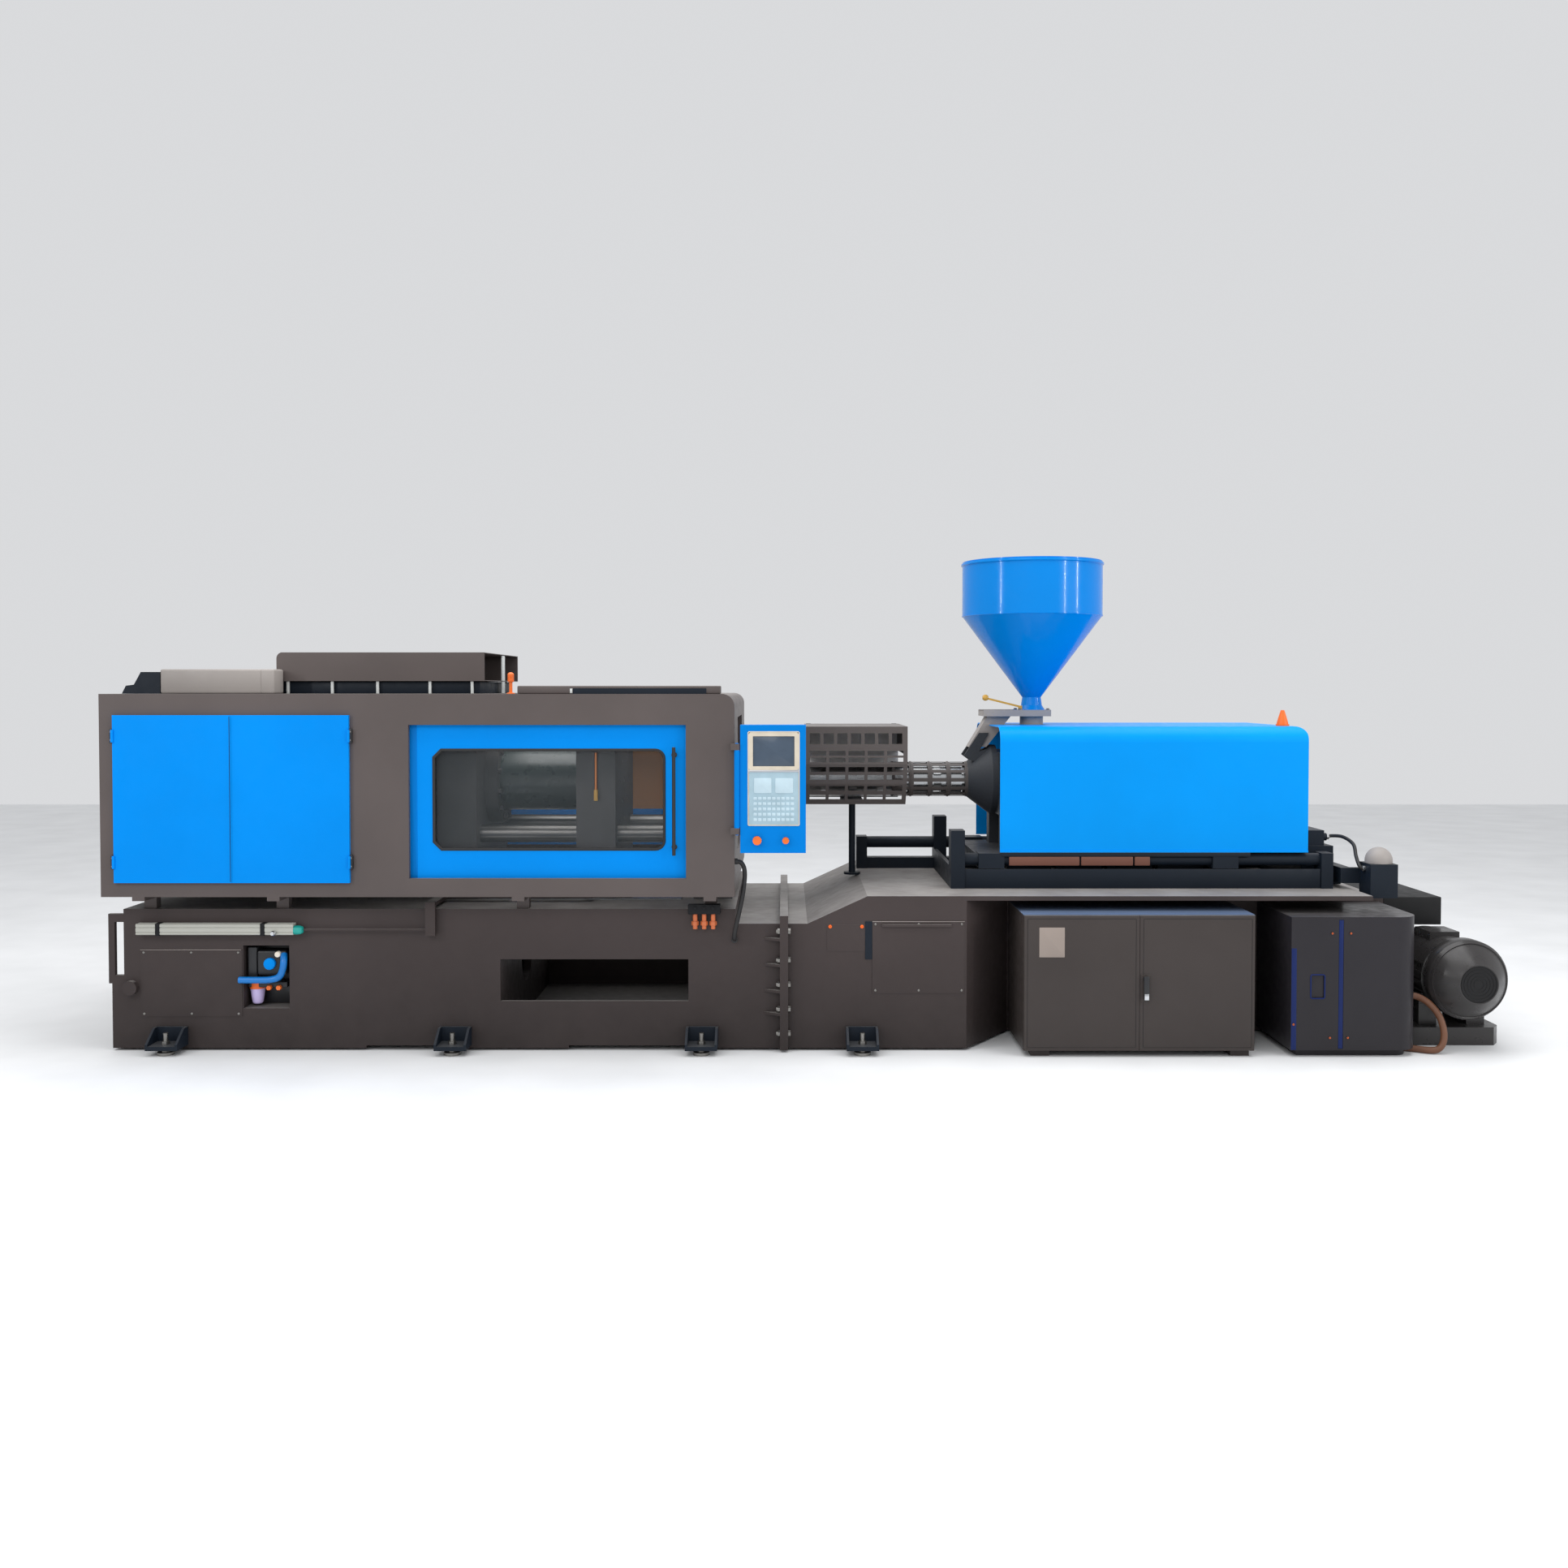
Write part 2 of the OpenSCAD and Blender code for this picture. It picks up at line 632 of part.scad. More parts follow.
module lubricator() {
    y0 = -wall_y + 20;
    back = -wall_y + recess_d;
    cx = recess_x0 + 46;
    color(dark_grey) {
        block([recess_x0 + 20, recess_x1 - 20], [back - 8, back], [recess_z0 + 20, recess_z1 - 20]);
        block([recess_x0 + 70, recess_x1 - 30], [y0 + 10, back - 8], [recess_z1 - 130, recess_z1 - 30]);
        block([recess_x0 + 10, recess_x0 + 90], [y0 + 10, back - 8], [recess_z0 + 100, recess_z0 + 122]);
    }
    color(blue) bar_y([-wall_y - 5, y0 + 10], recess_x0 + 127, recess_z1 - 92, 30);
    color(pale) {
        bar_y([-wall_y, y0 + 10], recess_x1 - 59, recess_z1 - 45, 14);
        translate([cx, y0 + 46, recess_z0 + 12]) cylinder(r1 = 26, r2 = 38, h = 88);
    }
    color(orange) for (x = [recess_x0 + 118, recess_x0 + 166])
        bar_y([y0 + 20, back - 8], x, recess_z0 + 98, 13);
}

module oil_manifold() {
    x0 = joint_x - 468;
    y0 = -wall_y - 42;
    color(dark_grey) {
        block([x0, x0 + 158], [y0, -wall_y], [joint_h + 52, clamp_bed_h + 28]);
    }
    color(orange) for (i = [0:2]) {
        bar_z([joint_h - 22, joint_h + 52], x0 + 34 + 44 * i, y0 + 20, 11);
        translate([x0 + 34 + 44 * i, y0 + 20, joint_h - 10]) cylinder(r = 18, h = 22, $fn = 6);
    }
}

// Casing with rounded upper right edge
module guard_solid(inset) {
    x0 = guard_x0 + inset;
    x1 = guard_x1 - inset;
    y1 = guard_y - inset;
    z1 = guard_z1 - inset;
    r = inset > 0 ? 20 : 60;
    block([x0, x1], [-y1, y1], [guard_z0, z1 - r]);
    block([x0, x1 - r], [-y1, y1], [z1 - r - 1, z1]);
    bar_y([-y1, y1], x1 - r, z1 - r, r);
}

module guard_frame() {
    color(guard_grey) difference() {
        union() {
            guard_solid(0);
            // Ears that hold the operator panel
            for (z = [panel_z0 + 90, panel_z1 - 120]) {
                block([hinge_x - 30, hinge_x], [hinge_y - 13, -guard_y], [z, z + 30]);
                bar_z([z, z + 30], hinge_x, hinge_y, 13);
            }
            // Brackets that carry the casing on the clamp bed
            both_sides() for (x = [guard_x0 + 150, guard_x0 + 800, guard_x0 + 1980, guard_x1 - 150]) {
                block([x, x + 60], [wall_y - 70, wall_y - 20], [clamp_bed_h, guard_z0]);
                block([x, x + 60], [wall_y - 70, guard_y], [guard_z0 - 20, guard_z0]);
            }
        }
        difference() {
            translate([0, 0, -1]) guard_solid(sheet_t);
            // Bottom rails that carry the sliding doors
            both_sides() block([door_x0 - door_travel - 40, door_x1 + 40], [door_y - door_t, guard_y - sheet_t + 1],
                [guard_z0, door_z0 - door_lap]);
        }
        both_sides() block([door_x0, door_x1], [guard_y - sheet_t - 1, guard_y + 1], [door_z0, door_z1]);
        block([cover_x0 + 40, cover_x2 - 40], [-guard_y - 1, -guard_y + sheet_t + 1], [cover_z0 + 40, cover_z1 - 40]);
        // Way in for the nozzle
        block([guard_x1 - sheet_t - 1, guard_x1 + 1], [-360, 360], [axis_h - 340, axis_h + 340]);
        // Open roof over the mould space
        block([rear_x1 + 60, fixed_x0 - 20], [-480, 480], [guard_z1 - sheet_t - 1, guard_z1 + 1]);
        for (z = [panel_z0 + 89, panel_z1 - 121]) bar_z([z, z + 32], hinge_x, hinge_y, 8 + run_gap);
    }
}

module door_rails() {
    color(pale) block([joint_x - 1014, joint_x - 374], [-guard_y + 10, -guard_y + 60], [guard_z1, guard_z1 + 27]);
    color(dark_grey) both_sides() {
        block([door_x0 - door_travel - 40, door_x1 + 40], [door_y - door_t - 22, door_y - door_t - 2], [door_z1 + 20, door_z1 + 60]);
        for (x = [door_x0 - door_travel - 20, door_x0 - 300, door_x1 + 20])
            block([x - 15, x + 15], [door_y - door_t - 22, guard_y - sheet_t], [door_z1 + 60, door_z1 + 80]);
    }
}

module low_casing() {
    x0 = guard_x0 + 195;
    color(pale) difference() {
        block([x0, x0 + 566], [-casing_y, casing_y], [guard_z1, guard_z1 + 122]);
        block([x0 + 4, x0 + 562], [-casing_y + 4, casing_y - 4], [guard_z1 - 1, guard_z1 + 118]);
    }
    // Stepped bracket at its left end
    color(dark_grey) profile_y([-casing_y, -casing_y + 60]) polygon([[x0 - 190, guard_z1], [x0 - 170, guard_z1 + 40],
        [x0 - 130, guard_z1 + 45], [x0 - 95, guard_z1 + 108], [x0, guard_z1 + 108], [x0, guard_z1]]);
}

module high_casing() {
    x0 = guard_x0 + 761 + fit_gap;
    x1 = x0 + 1039;
    z0 = guard_z1 + 52;
    z1 = guard_z1 + 209;
    color(guard_grey) {
        difference() {
            block([x0, x1], [-casing_y, casing_y], [z0, z1]);
            block([x0 + 4, x1 + 1], [-casing_y + 4, casing_y - 4], [z0 + 4, z1 - 4]);
        }
        // Open end frame
        difference() {
            block([x1, x1 + 166], [-casing_y, casing_y], [z0, z1]);
            block([x1 - 1, x1 + 162], [-casing_y + 4, casing_y - 4], [z0 + 4, z1 - 4]);
            for (x = [[x1 + 8, x1 + 62], [x1 + 98, x1 + 150]]) block(x, [-casing_y - 1, casing_y + 1], [z0 + 20, z1 - 12]);
        }
    }
    color(pale) both_sides() for (x = [x0 + 30, x0 + 180, x0 + 366, x0 + 560, x0 + 754, x1 + 100])
        block([x, x + 14], [casing_y - 30, casing_y - 16], [guard_z1, z0]);
}

module warning_lamp() {
    x = guard_x0 + 1942;
    y = -casing_y - 30;
    color(orange) {
        bar_z([guard_z1, guard_z1 + 50], x, y, 12);
        bar_z([guard_z1 + 50, guard_z1 + 100], x, y, 24);
        translate([x, y, guard_z1 + 100]) sphere(r = 24);
    }
}

module front_door() {
    door_panel();
    // Slender upright handle on two studs
    color(dark_grey) {
        bar_z([door_z0 + 110, door_z1 - 105], door_x1 - 58, -door_y - 34, 8);
        for (z = [door_z0 + 150, door_z1 - 145]) bar_y([-door_y - 34, -door_y], door_x1 - 58, z, 7);
    }
}

// Sliding door with its window opening, for the front side
module door_panel() {
    color(blue) difference() {
        block([door_x0 - door_lap, door_x1 + door_lap], [-door_y, -door_y + door_t], [door_z0 - door_lap + fit_gap, door_z1 + door_lap]);
        window_form([-door_y - 1, -door_y + door_t + 1], 0);
        window_form([-door_y + door_t - 8, -door_y + door_t + 1], -20);
    }
}

// Window outline: chamfered at the left, rounded at the right, grown by -inset
module window_form(y, inset) {
    x0 = window_x0 + inset;
    x1 = window_x1 - inset;
    z0 = window_z0 + inset;
    z1 = window_z1 - inset;
    c = 35;
    r = 40;
    profile_y(y) polygon([[x0 + c, z0], [x1 - r, z0], [x1, z0 + r], [x1, z1 - r], [x1 - r, z1], [x0 + c, z1], [x0, z1 - c], [x0, z0 + c]]);
    for (z = [z0 + r, z1 - r]) bar_y(y, x1 - r, z, r);
}

module pane() {
    window_form([-door_y + door_t - 8 + fit_gap, -door_y + door_t], -20 + fit_gap);
}

module front_window() {
    color([0.55, 0.62, 0.66, 0.4]) pane();
}

module rear_door() {
    mirror([0, 1, 0]) door_panel();
}

module rear_window() {
    color([0.55, 0.62, 0.66, 0.4]) mirror([0, 1, 0]) pane();
}

// Hinged cover door with folded rim, its hinge edge at x
module cover_leaf(x, hinge_side) {
    x0 = x[0] + fit_gap;
    x1 = x[1] - fit_gap;
    y0 = -guard_y - fit_gap - cover_t;
    color(blue) difference() {
        union() {
            block([x0, x1], [y0, -guard_y - fit_gap], [cover_z0, cover_z1]);
            for (z = [cover_z0 + 70, cover_z1 - 130]) bar_z([z, z + 60], hinge_side, y0 - 3, 7);
        }
        block([x0 + 20, x1 - 20], [y0 + 3, -guard_y], [cover_z0 + 20, cover_z1 - 20]);
    }
}

module cover_door_left() {
    cover_leaf([cover_x0, cover_x0 + cover_w], cover_x0 + 1);
}

module cover_door_right() {
    cover_leaf([cover_x0 + cover_w, cover_x2], cover_x2 - 1);
}

module clamp_ram() {
    color(steel) difference() {
        union() {
            bar_x([moving_x0 - 1060, moving_x0], 0, axis_h, ram_r);
            bar_x([moving_x0 - 1060, moving_x0 - 960], 0, axis_h, cylinder_r - 50 - run_gap);
        }
        bar_x([moving_x0 - 260, moving_x0 + 1], 0, axis_h, 60);
    }
    // Ejector cylinder inside the ram
    color(dark_grey) difference() {
        union() {
            bar_x([moving_x0 - 240, cavity_x0], 0, axis_h, 55);
            bar_x([cavity_x0, cavity_x0 + 10], 0, axis_h, 80);
        }
        bar_x([moving_x0 - 225, cavity_x0 - 20], 0, axis_h, 40);
        bar_x([moving_x0 - 60, cavity_x0 + 11], 0, axis_h, 25 + run_gap);
    }
}

module moving_platen() {
    color(guard_grey) difference() {
        union() {
            platen_body([moving_x0, moving_x1], tie_bar_r + run_gap);
            both_sides() block([moving_x0, moving_x1], [shoe_y0, shoe_y1], [clamp_bed_h + slideway_t + fit_gap, platen_z0 + 60]);
        }
        // Cavity that holds the ejector plate, open at the top
        block([cavity_x0, cavity_x1], [-cavity_w / 2 - 5, cavity_w / 2 + 5], [axis_h - cavity_w / 2 - 5, platen_z0 + platen_w + 1]);
        bar_x([moving_x0 - 1, cavity_x0 + 1], 0, axis_h, 62);
        fixing_holes([cavity_x1 + 10, moving_x1 + 1]);
        for (p = [[0, 0], [-105, -105], [-105, 105], [105, -105], [105, 105]])
            bar_x([cavity_x1 - 1, moving_x1 + 1], p[0], axis_h + p[1], 14 + run_gap);
    }
}

module ejector_plate() {
    plate_x = cavity_x0 + 15;
    color(steel) {
        block([plate_x, plate_x + 25], [-cavity_w / 2 + 15, cavity_w / 2 - 15], [axis_h - cavity_w / 2 + 15, axis_h + cavity_w / 2 - 15]);
        bar_x([plate_x - 200, plate_x], 0, axis_h, 25);
        bar_x([plate_x - 220, plate_x - 200], 0, axis_h, 40 - run_gap);
        for (p = [[0, 0], [-105, -105], [-105, 105], [105, -105], [105, 105]])
            bar_x([plate_x + 25, moving_x1 - 5], p[0], axis_h + p[1], 14);
    }
}

module panel_case() {
    y1 = panel_y0 + panel_d;
    color(blue) difference() {
        block([panel_x0, panel_x1], [panel_y0, y1], [panel_z0, panel_z1]);
        block([screen_x0, screen_x1], [panel_y0 - 1, panel_y0 + 12], [screen_z0, screen_z1]);
        for (x = [stop_x, start_x]) bar_y([panel_y0 - 1, panel_y0 + 30], x, button_z, 9);
    }
    // Hinge knuckle and its pin
    color(dark_grey) {
        block([hinge_x - 10, panel_x0], [hinge_y + 2, hinge_y + 14], [panel_z0 + 125, panel_z1 - 125]);
        bar_z([panel_z0 + 120 + fit_gap, panel_z1 - 120 - fit_gap], hinge_x, hinge_y, 13);
        bar_z([panel_z0 + 86, panel_z1 - 86], hinge_x, hinge_y, 8);
    }
}

module panel_screen() {
    color([0.30, 0.42, 0.46]) block([screen_x0 + fit_gap, screen_x1 - fit_gap], [panel_y0 + 4, panel_y0 + 12],
        [screen_z0 + fit_gap, screen_z1 - fit_gap]);
}

// Mushroom button with its stem in the panel
module push_button(x, r) {
    bar_y([panel_y0 - 26, panel_y0 - 16], x, button_z, r);
    bar_y([panel_y0 - 16, panel_y0 - 8], x, button_z, r * 0.7);
    bar_y([panel_y0 - 8, panel_y0 + 24], x, button_z, 9 - run_gap);
}

module stop_button() {
    color(orange) push_button(stop_x, 21);
}

module start_button() {
    color([0.75, 0.35, 0.10]) push_button(start_x, 16);
}

// Two guide shafts on pedestals, over low side beams
module carriage_rails() {
    bracket_x = joint_x + 848;
    color(dark_grey) both_sides() {
        block([shaft_x1 - 60, shaft_x1], [shaft_y - 50, shaft_y + 50], [table_h, shaft_z + 35]);
        block([bracket_x, bracket_x + 71], [shaft_y - 50, shaft_y + 50], [table_h, shaft_z + 150]);
        block([bracket_x + 71, shaft_x1 - 60], [shaft_y - 40, shaft_y + 40], [table_h, table_h + 60]);
    }
    color(steel) both_sides() bar_x([bracket_x + 71, shaft_x1 - 60], shaft_y, shaft_z, shaft_r);
    // Plate across the table, and the rear shaft's longer reach towards the platen
    color(dark_grey) {
        block([bracket_x, bracket_x + 20], [-shaft_y, shaft_y], [table_h, table_h + 110]);
        block([shaft_x0, shaft_x0 + 60], [shaft_y - 50, shaft_y + 50], [table_h, shaft_z + 35]);
        block([shaft_x0 + 60, bracket_x], [shaft_y - 40, shaft_y + 40], [table_h, table_h + 60]);
    }
    color(steel) bar_x([shaft_x0 + 60, bracket_x], shaft_y, shaft_z, shaft_r);
}

module carriage_base() {
    color(dark_grey) difference() {
        union() {
            block([base_x0, base_x1], [-340, 340], [base_z0, base_z1]);
            both_sides() for (x = [base_x0, joint_x + 2180])
                block([x, x + 130], [339, shaft_y + 45], [shaft_z - 43, shaft_z + 34]);
        }
        both_sides() for (x = [base_x0, joint_x + 2180])
            bar_x([x - 1, x + 131], shaft_y, shaft_z, shaft_r + run_gap);
    }
    // Cross members and side fillers under the cover
    color([0.42, 0.33, 0.30]) both_sides()
        for (x = [base_x0 + 160, base_x0 + 420, base_x0 + 680, base_x0 + 940]) block([x, x + 230], [290, 338], [base_z0 - 60, base_z0]);
}

module feed_housing() {
    color(dark_grey) difference() {
        union() {
            translate([housing_x0, 0, axis_h]) rotate([0, 90, 0]) cylinder(r1 = barrel_cover_r + 3, r2 = 185, h = 120);
            bar_x([housing_x0 + 120, housing_x0 + 150], 0, axis_h, 185);
            block([housing_x0 + 150, housing_x1], [-270, 270], [axis_h - 180, axis_h + 150]);
            block([feed_x - 80, feed_x + 80], [-80, 80], [axis_h + 149, axis_h + 200]);
            both_sides() block([housing_x0 + 150, housing_x1], [180, 270], [base_z1, axis_h - 170]);
            // Arms that carry the slide's chute
            both_sides() profile_y([55, 71]) polygon([[housing_x0 + 20, axis_h + 100],
                [housing_x0 - 20, axis_h + 130], [housing_x0 + 60, axis_h + 250], [housing_x0 + 110, axis_h + 250],
                [housing_x0 + 60, axis_h + 150], [housing_x0 + 120, axis_h + 170], [housing_x0 + 120, axis_h + 100]]);
        }
        bar_x([housing_x0 - 1, housing_x1 + 1], 0, axis_h, barrel_r + run_gap);
        bar_z([axis_h, axis_h + 201], feed_x, 0, 50);
    }
}

module barrel() {
    color(steel) difference() {
        union() {
            bar_x([barrel_x0, barrel_x1], 0, axis_h, barrel_r);
            bar_x([housing_x1, housing_x1 + 25], 0, axis_h, barrel_r + 20);
        }
        bar_x([barrel_x0 - 1, barrel_x1 + 1], 0, axis_h, bore_r);
        bar_z([axis_h, axis_h + barrel_r + 1], feed_x, 0, 40);
    }
    // Nozzle with its tapered tip
    color(steel) translate([nozzle_x, 0, axis_h]) rotate([0, 90, 0]) difference() {
        rotate_extrude() polygon([[3, 0], [12, 0], [22, 30], [22, 170], [45, 190], [45, barrel_x0 - nozzle_x], [3, barrel_x0 - nozzle_x]]);
        translate([0, 0, 60]) cylinder(r = 8, h = barrel_x0 - nozzle_x);
    }
}

module heater_bands() {
    color(pale) for (x = [barrel_x0 + 60:150:housing_x0 - 120]) difference() {
        union() {
            bar_x([x, x + 110], 0, axis_h, barrel_r + 13);
            block([x + 15, x + 45], [-12, 12], [axis_h + barrel_r + 11, axis_h + barrel_r + 22]);
        }
        bar_x([x - 1, x + 111], 0, axis_h, barrel_r + run_gap);
    }
}

// Round cover over the barrel, pierced by rows of slots
module barrel_cover() {
    columns = 4;
    ring_w = 8;
    step = (barrel_cover_l - ring_w) / columns;
    color(dark_grey) difference() {
        union() {
            bar_x([cover_tube_x0, cover_tube_x1], 0, axis_h, barrel_cover_r);
            for (i = [0:columns]) translate([i * step, 0, 0])
                bar_x([cover_tube_x0, cover_tube_x0 + ring_w], 0, axis_h, barrel_cover_r + 3);
        }
        bar_x([cover_tube_x0 - 1, cover_tube_x1 + 1], 0, axis_h, barrel_cover_r - 3);
        for (i = [0:columns - 1], a = [15:30:345]) translate([cover_tube_x0 + i * step + 16, 0, axis_h]) rotate([a, 0, 0])
            translate([0, barrel_cover_r - 10, -14]) cube([step - 24, 20, 28]);
    }
}

module injection_cylinders() {
    color(dark_grey) both_sides() difference() {
        union() {
            bar_x([push_x0, push_x1], cylinder_y, axis_h, 62);
            block([push_x0, push_x0 + 30], [cylinder_y - 75, cylinder_y + 75], [axis_h - 75, axis_h + 75]);
        }
        bar_x([push_x0 + 30, push_x1 - 30], cylinder_y, axis_h, 48);
        bar_x([push_x1 - 31, push_x1 + 1], cylinder_y, axis_h, 30 + run_gap);
    }
}

module thrust_plate() {
    motor_r = 120;
    color(dark_grey) {
        difference() {
            block([thrust_x0, thrust_x1], [-300, 300], [axis_h - 150, axis_h + 150]);
            bar_x([thrust_x0 - 1, thrust_x1 - 20], 0, axis_h, bore_r + 25 + run_gap);
        }
        // Screw drive motor behind the plate
        bar_x([thrust_x1, thrust_x1 + 60], 0, axis_h, motor_r + 20);
        bar_x([thrust_x1 + 60, thrust_x1 + 260], 0, axis_h, motor_r);
        bar_x([thrust_x1 + 260, thrust_x1 + 330], 0, axis_h, motor_r - 40);
        for (a = [0:72:359]) rotate_at(a) block([thrust_x1 + 60, thrust_x1 + 220], [motor_r - 20, motor_r + 14], [-38, 38]);
    }
    color(steel) both_sides() {
        bar_x([push_x0 + 120, thrust_x0], cylinder_y, axis_h, 30);
        bar_x([push_x0 + 60, push_x0 + 120], cylinder_y, axis_h, 48 - run_gap);
    }
}

// Turns a shape drawn about the X axis and lifts it to the machine's axis
module rotate_at(a) {
    translate([0, 0, axis_h]) rotate([a, 0, 0]) children();
}

module screw() {
    flight_l = feed_x + 50 - barrel_x0 - 110;
    turns = flight_l / screw_pitch;
    root_r = bore_r * 0.66;
    color(steel) translate([barrel_x0 + 60, 0, axis_h]) rotate([0, 90, 0]) {
        cylinder(r1 = 6, r2 = bore_r - 6, h = 50);
        translate([0, 0, 50]) linear_extrude(flight_l, twist = -360 * turns, slices = round(turns * 6), $fn = 8) union() {
            circle(root_r);
            translate([0, -5]) square([bore_r - 0.6, 10]);
        }
        translate([0, 0, 50 + flight_l]) cylinder(r = bore_r - 1, h = thrust_x0 - barrel_x0 - flight_l - 110);
        translate([0, 0, thrust_x0 - barrel_x0 - 60]) cylinder(r = bore_r + 25, h = thrust_x1 - thrust_x0 - 20 - fit_gap);
    }
}

// Cover of the injection unit: rounded along its upper edges and at its rear corner
module hood_solid(inset) {
    x = [hood_x0 - (inset > 0 ? 1 : 0), hood_x1 - inset];
    y1 = hood_w / 2 - inset;
    z0 = hood_z0 - (inset > 0 ? 1 : 0);
    z1 = hood_z1 - inset;
    r = hood_r - inset;
    end_r = 50 - inset;
    corner = [for (a = [0:15:75]) [x[1] - end_r * (1 - cos(a)), z1 - end_r * (1 - sin(a))]];
    intersection() {
        union() {
            block(x, [-y1, y1], [z0, z1 - r]);
            block(x, [-y1 + r, y1 - r], [z1 - r - 1, z1]);
            both_sides() bar_x(x, y1 - r, z1 - r, r);
        }
        profile_y([-y1 - 1, y1 + 1]) polygon(concat([[x[0] - 1, z0 - 1], [x[1], z0 - 1]], corner,
            [[x[1] - end_r - 20, z1 + 2], [x[0] - 1, z1 + 2]]));
    }
}

module injection_cover() {
    color(blue) difference() {
        union() {
            hood_solid(0);
            both_sides() block([hood_x0, hood_x1], [hood_w / 2 - 12, hood_w / 2 + 5], [hood_z0, hood_z0 + 8]);
        }
        hood_solid(6);
        bar_z([hood_z1 - 10, hood_z1 + 1], feed_x, 0, 72);
        // Notch at the front edge for the slide's chute
        block([hood_x0 - 1, hood_x0 + 86], [-62, 62], [hood_z1 - 12, hood_z1 + 1]);
        block([hood_x1 - 10, hood_x1 + 1], [-160, 160], [hood_z0 - 1, hood_z0 + 90]);
    }
    color(orange) {
        bar_z([hood_z1, hood_z1 + 8], hood_x1 - 90, -hood_w / 2 + 130, 32);
        translate([hood_x1 - 90, -hood_w / 2 + 130, hood_z1 + 8]) cylinder(r1 = 28, r2 = 8, h = 72);
    }
}

module valve_block() {
    color(dark_grey) {
        block([valve_x0, valve_x1], [-330, 330], [table_h + 5, base_z0]);
        block([valve_x0, valve_x1 - 40], [-330, 330], [base_z0, hood_z0 + 20]);
        block([valve_x0, valve_x1 - 80], [-310, 310], [hood_z0 + 20, hood_z0 + 98]);
        bar_x([valve_x1 - 80, valve_x1 - 60], -280, hood_z0 + 62, 20);
    }
}

module hopper_slide() {
    chute_y = 55;
    color(pale) {
        difference() {
            union() {
                block([slide_x0, slide_x1], [-100, 100], [slide_z0, slide_z1]);
                bar_z([axis_h + 200, slide_z0], feed_x, 0, 62);
            }
            bar_z([axis_h + 199, slide_z1 + 1], feed_x, 0, 45);
            bar_z([slide_z0 - 1, slide_z1 + 1], feed_x - 180, 0, 45);
        }
        // Guide strips that hold the hopper's foot
        both_sides() block([slide_x0, slide_x1], [92, 100], [slide_z1, slide_z1 + 10]);
    }
    // Chute that leads down and out at the left
    color(dark_grey) difference() {
        profile_y([-chute_y, chute_y]) polygon([[feed_x - 245, slide_z0], [feed_x - 120, slide_z0], [feed_x - 250, slide_z0 - 165],
            [feed_x - 345, slide_z0 - 165]]);
        profile_y([-chute_y + 5, chute_y - 5]) polygon([[feed_x - 239, slide_z0 + 1], [feed_x - 127, slide_z0 + 1],
            [feed_x - 259, slide_z0 - 166], [feed_x - 339, slide_z0 - 166]]);
    }
}

module hopper() {
    foot = 88;
    color(blue) difference() {
        union() {
            block([feed_x - foot, feed_x + foot], [-foot, foot], [hopper_z0, hopper_z0 + 10]);
            translate([feed_x, 0, 0]) rotate_extrude() polygon([[0, hopper_z0 + 9], [72, hopper_z0 + 9], [neck_r + 6, hopper_z0 + 34],
                [neck_r, cone_z0], [hopper_r, wall_z0], [hopper_r, hopper_z1], [0, hopper_z1]]);
        }
        translate([feed_x, 0, 0]) rotate_extrude() polygon([[0, hopper_z0 - 1], [neck_r - hopper_t - 1, hopper_z0 - 1],
            [neck_r - hopper_t - 1, cone_z0 + 2], [hopper_r - hopper_t, wall_z0 + 2], [hopper_r - hopper_t, hopper_z1 + 1], [0, hopper_z1 + 1]]);
    }
    // Hinge ears of the lid
    color(steel) difference() {
        for (x = [-60, 40]) {
            block([feed_x + x, feed_x + x + 20], [hopper_r - 5.5, hopper_r + 22], [hopper_z1 - 30, hopper_z1 - 4]);
            block([feed_x + x, feed_x + x + 20], [hopper_r + 4, hopper_r + 22], [hopper_z1 - 5, hopper_z1 + 10]);
        }
        bar_x([feed_x - 61, feed_x + 61], hopper_r + 13, hopper_z1 + 3, 4 + run_gap);
    }
}

module hopper_lid() {
    color(blue) {
        difference() {
            bar_z([hopper_z1 + fit_gap, hopper_z1 + 6], feed_x, 0, hopper_r - 2);
            bar_z([hopper_z1, hopper_z1 + 3], feed_x, 0, hopper_r - 30);
        }
        block([feed_x - 36, feed_x + 36], [hopper_r - 30, hopper_r + 13], [hopper_z1 + fit_gap, hopper_z1 + 6]);
        bar_x([feed_x - 36, feed_x + 36], hopper_r + 13, hopper_z1 + 3, 7);
        bar_x([feed_x - 60, feed_x + 60], hopper_r + 13, hopper_z1 + 3, 4);
    }
}

module slide_lever() {
    z = hopper_z0 + 10 + fit_gap;
    color([0.75, 0.55, 0.20]) {
        bar_z([z, z + 22], feed_x - 72, -70, 11);
        translate([feed_x - 72, -70, z + 16]) rotate([0, -14, 180]) translate([0, -7, -5]) cube([190, 14, 10]);
    }
}

// Outline of the purge guard, seen along the machine
function purge_outline(t) = [[purge_y - t, purge_z1 - t], [-purge_y + t, purge_z1 - t], [-purge_y + t, axis_h + 95],
    [-purge_y + 45 + t, axis_h - 10], [-purge_y + 130 + t, purge_z0 + t], [-60, purge_z0 + t], [-60, axis_h + 130], [purge_y - t, axis_h + 130]];

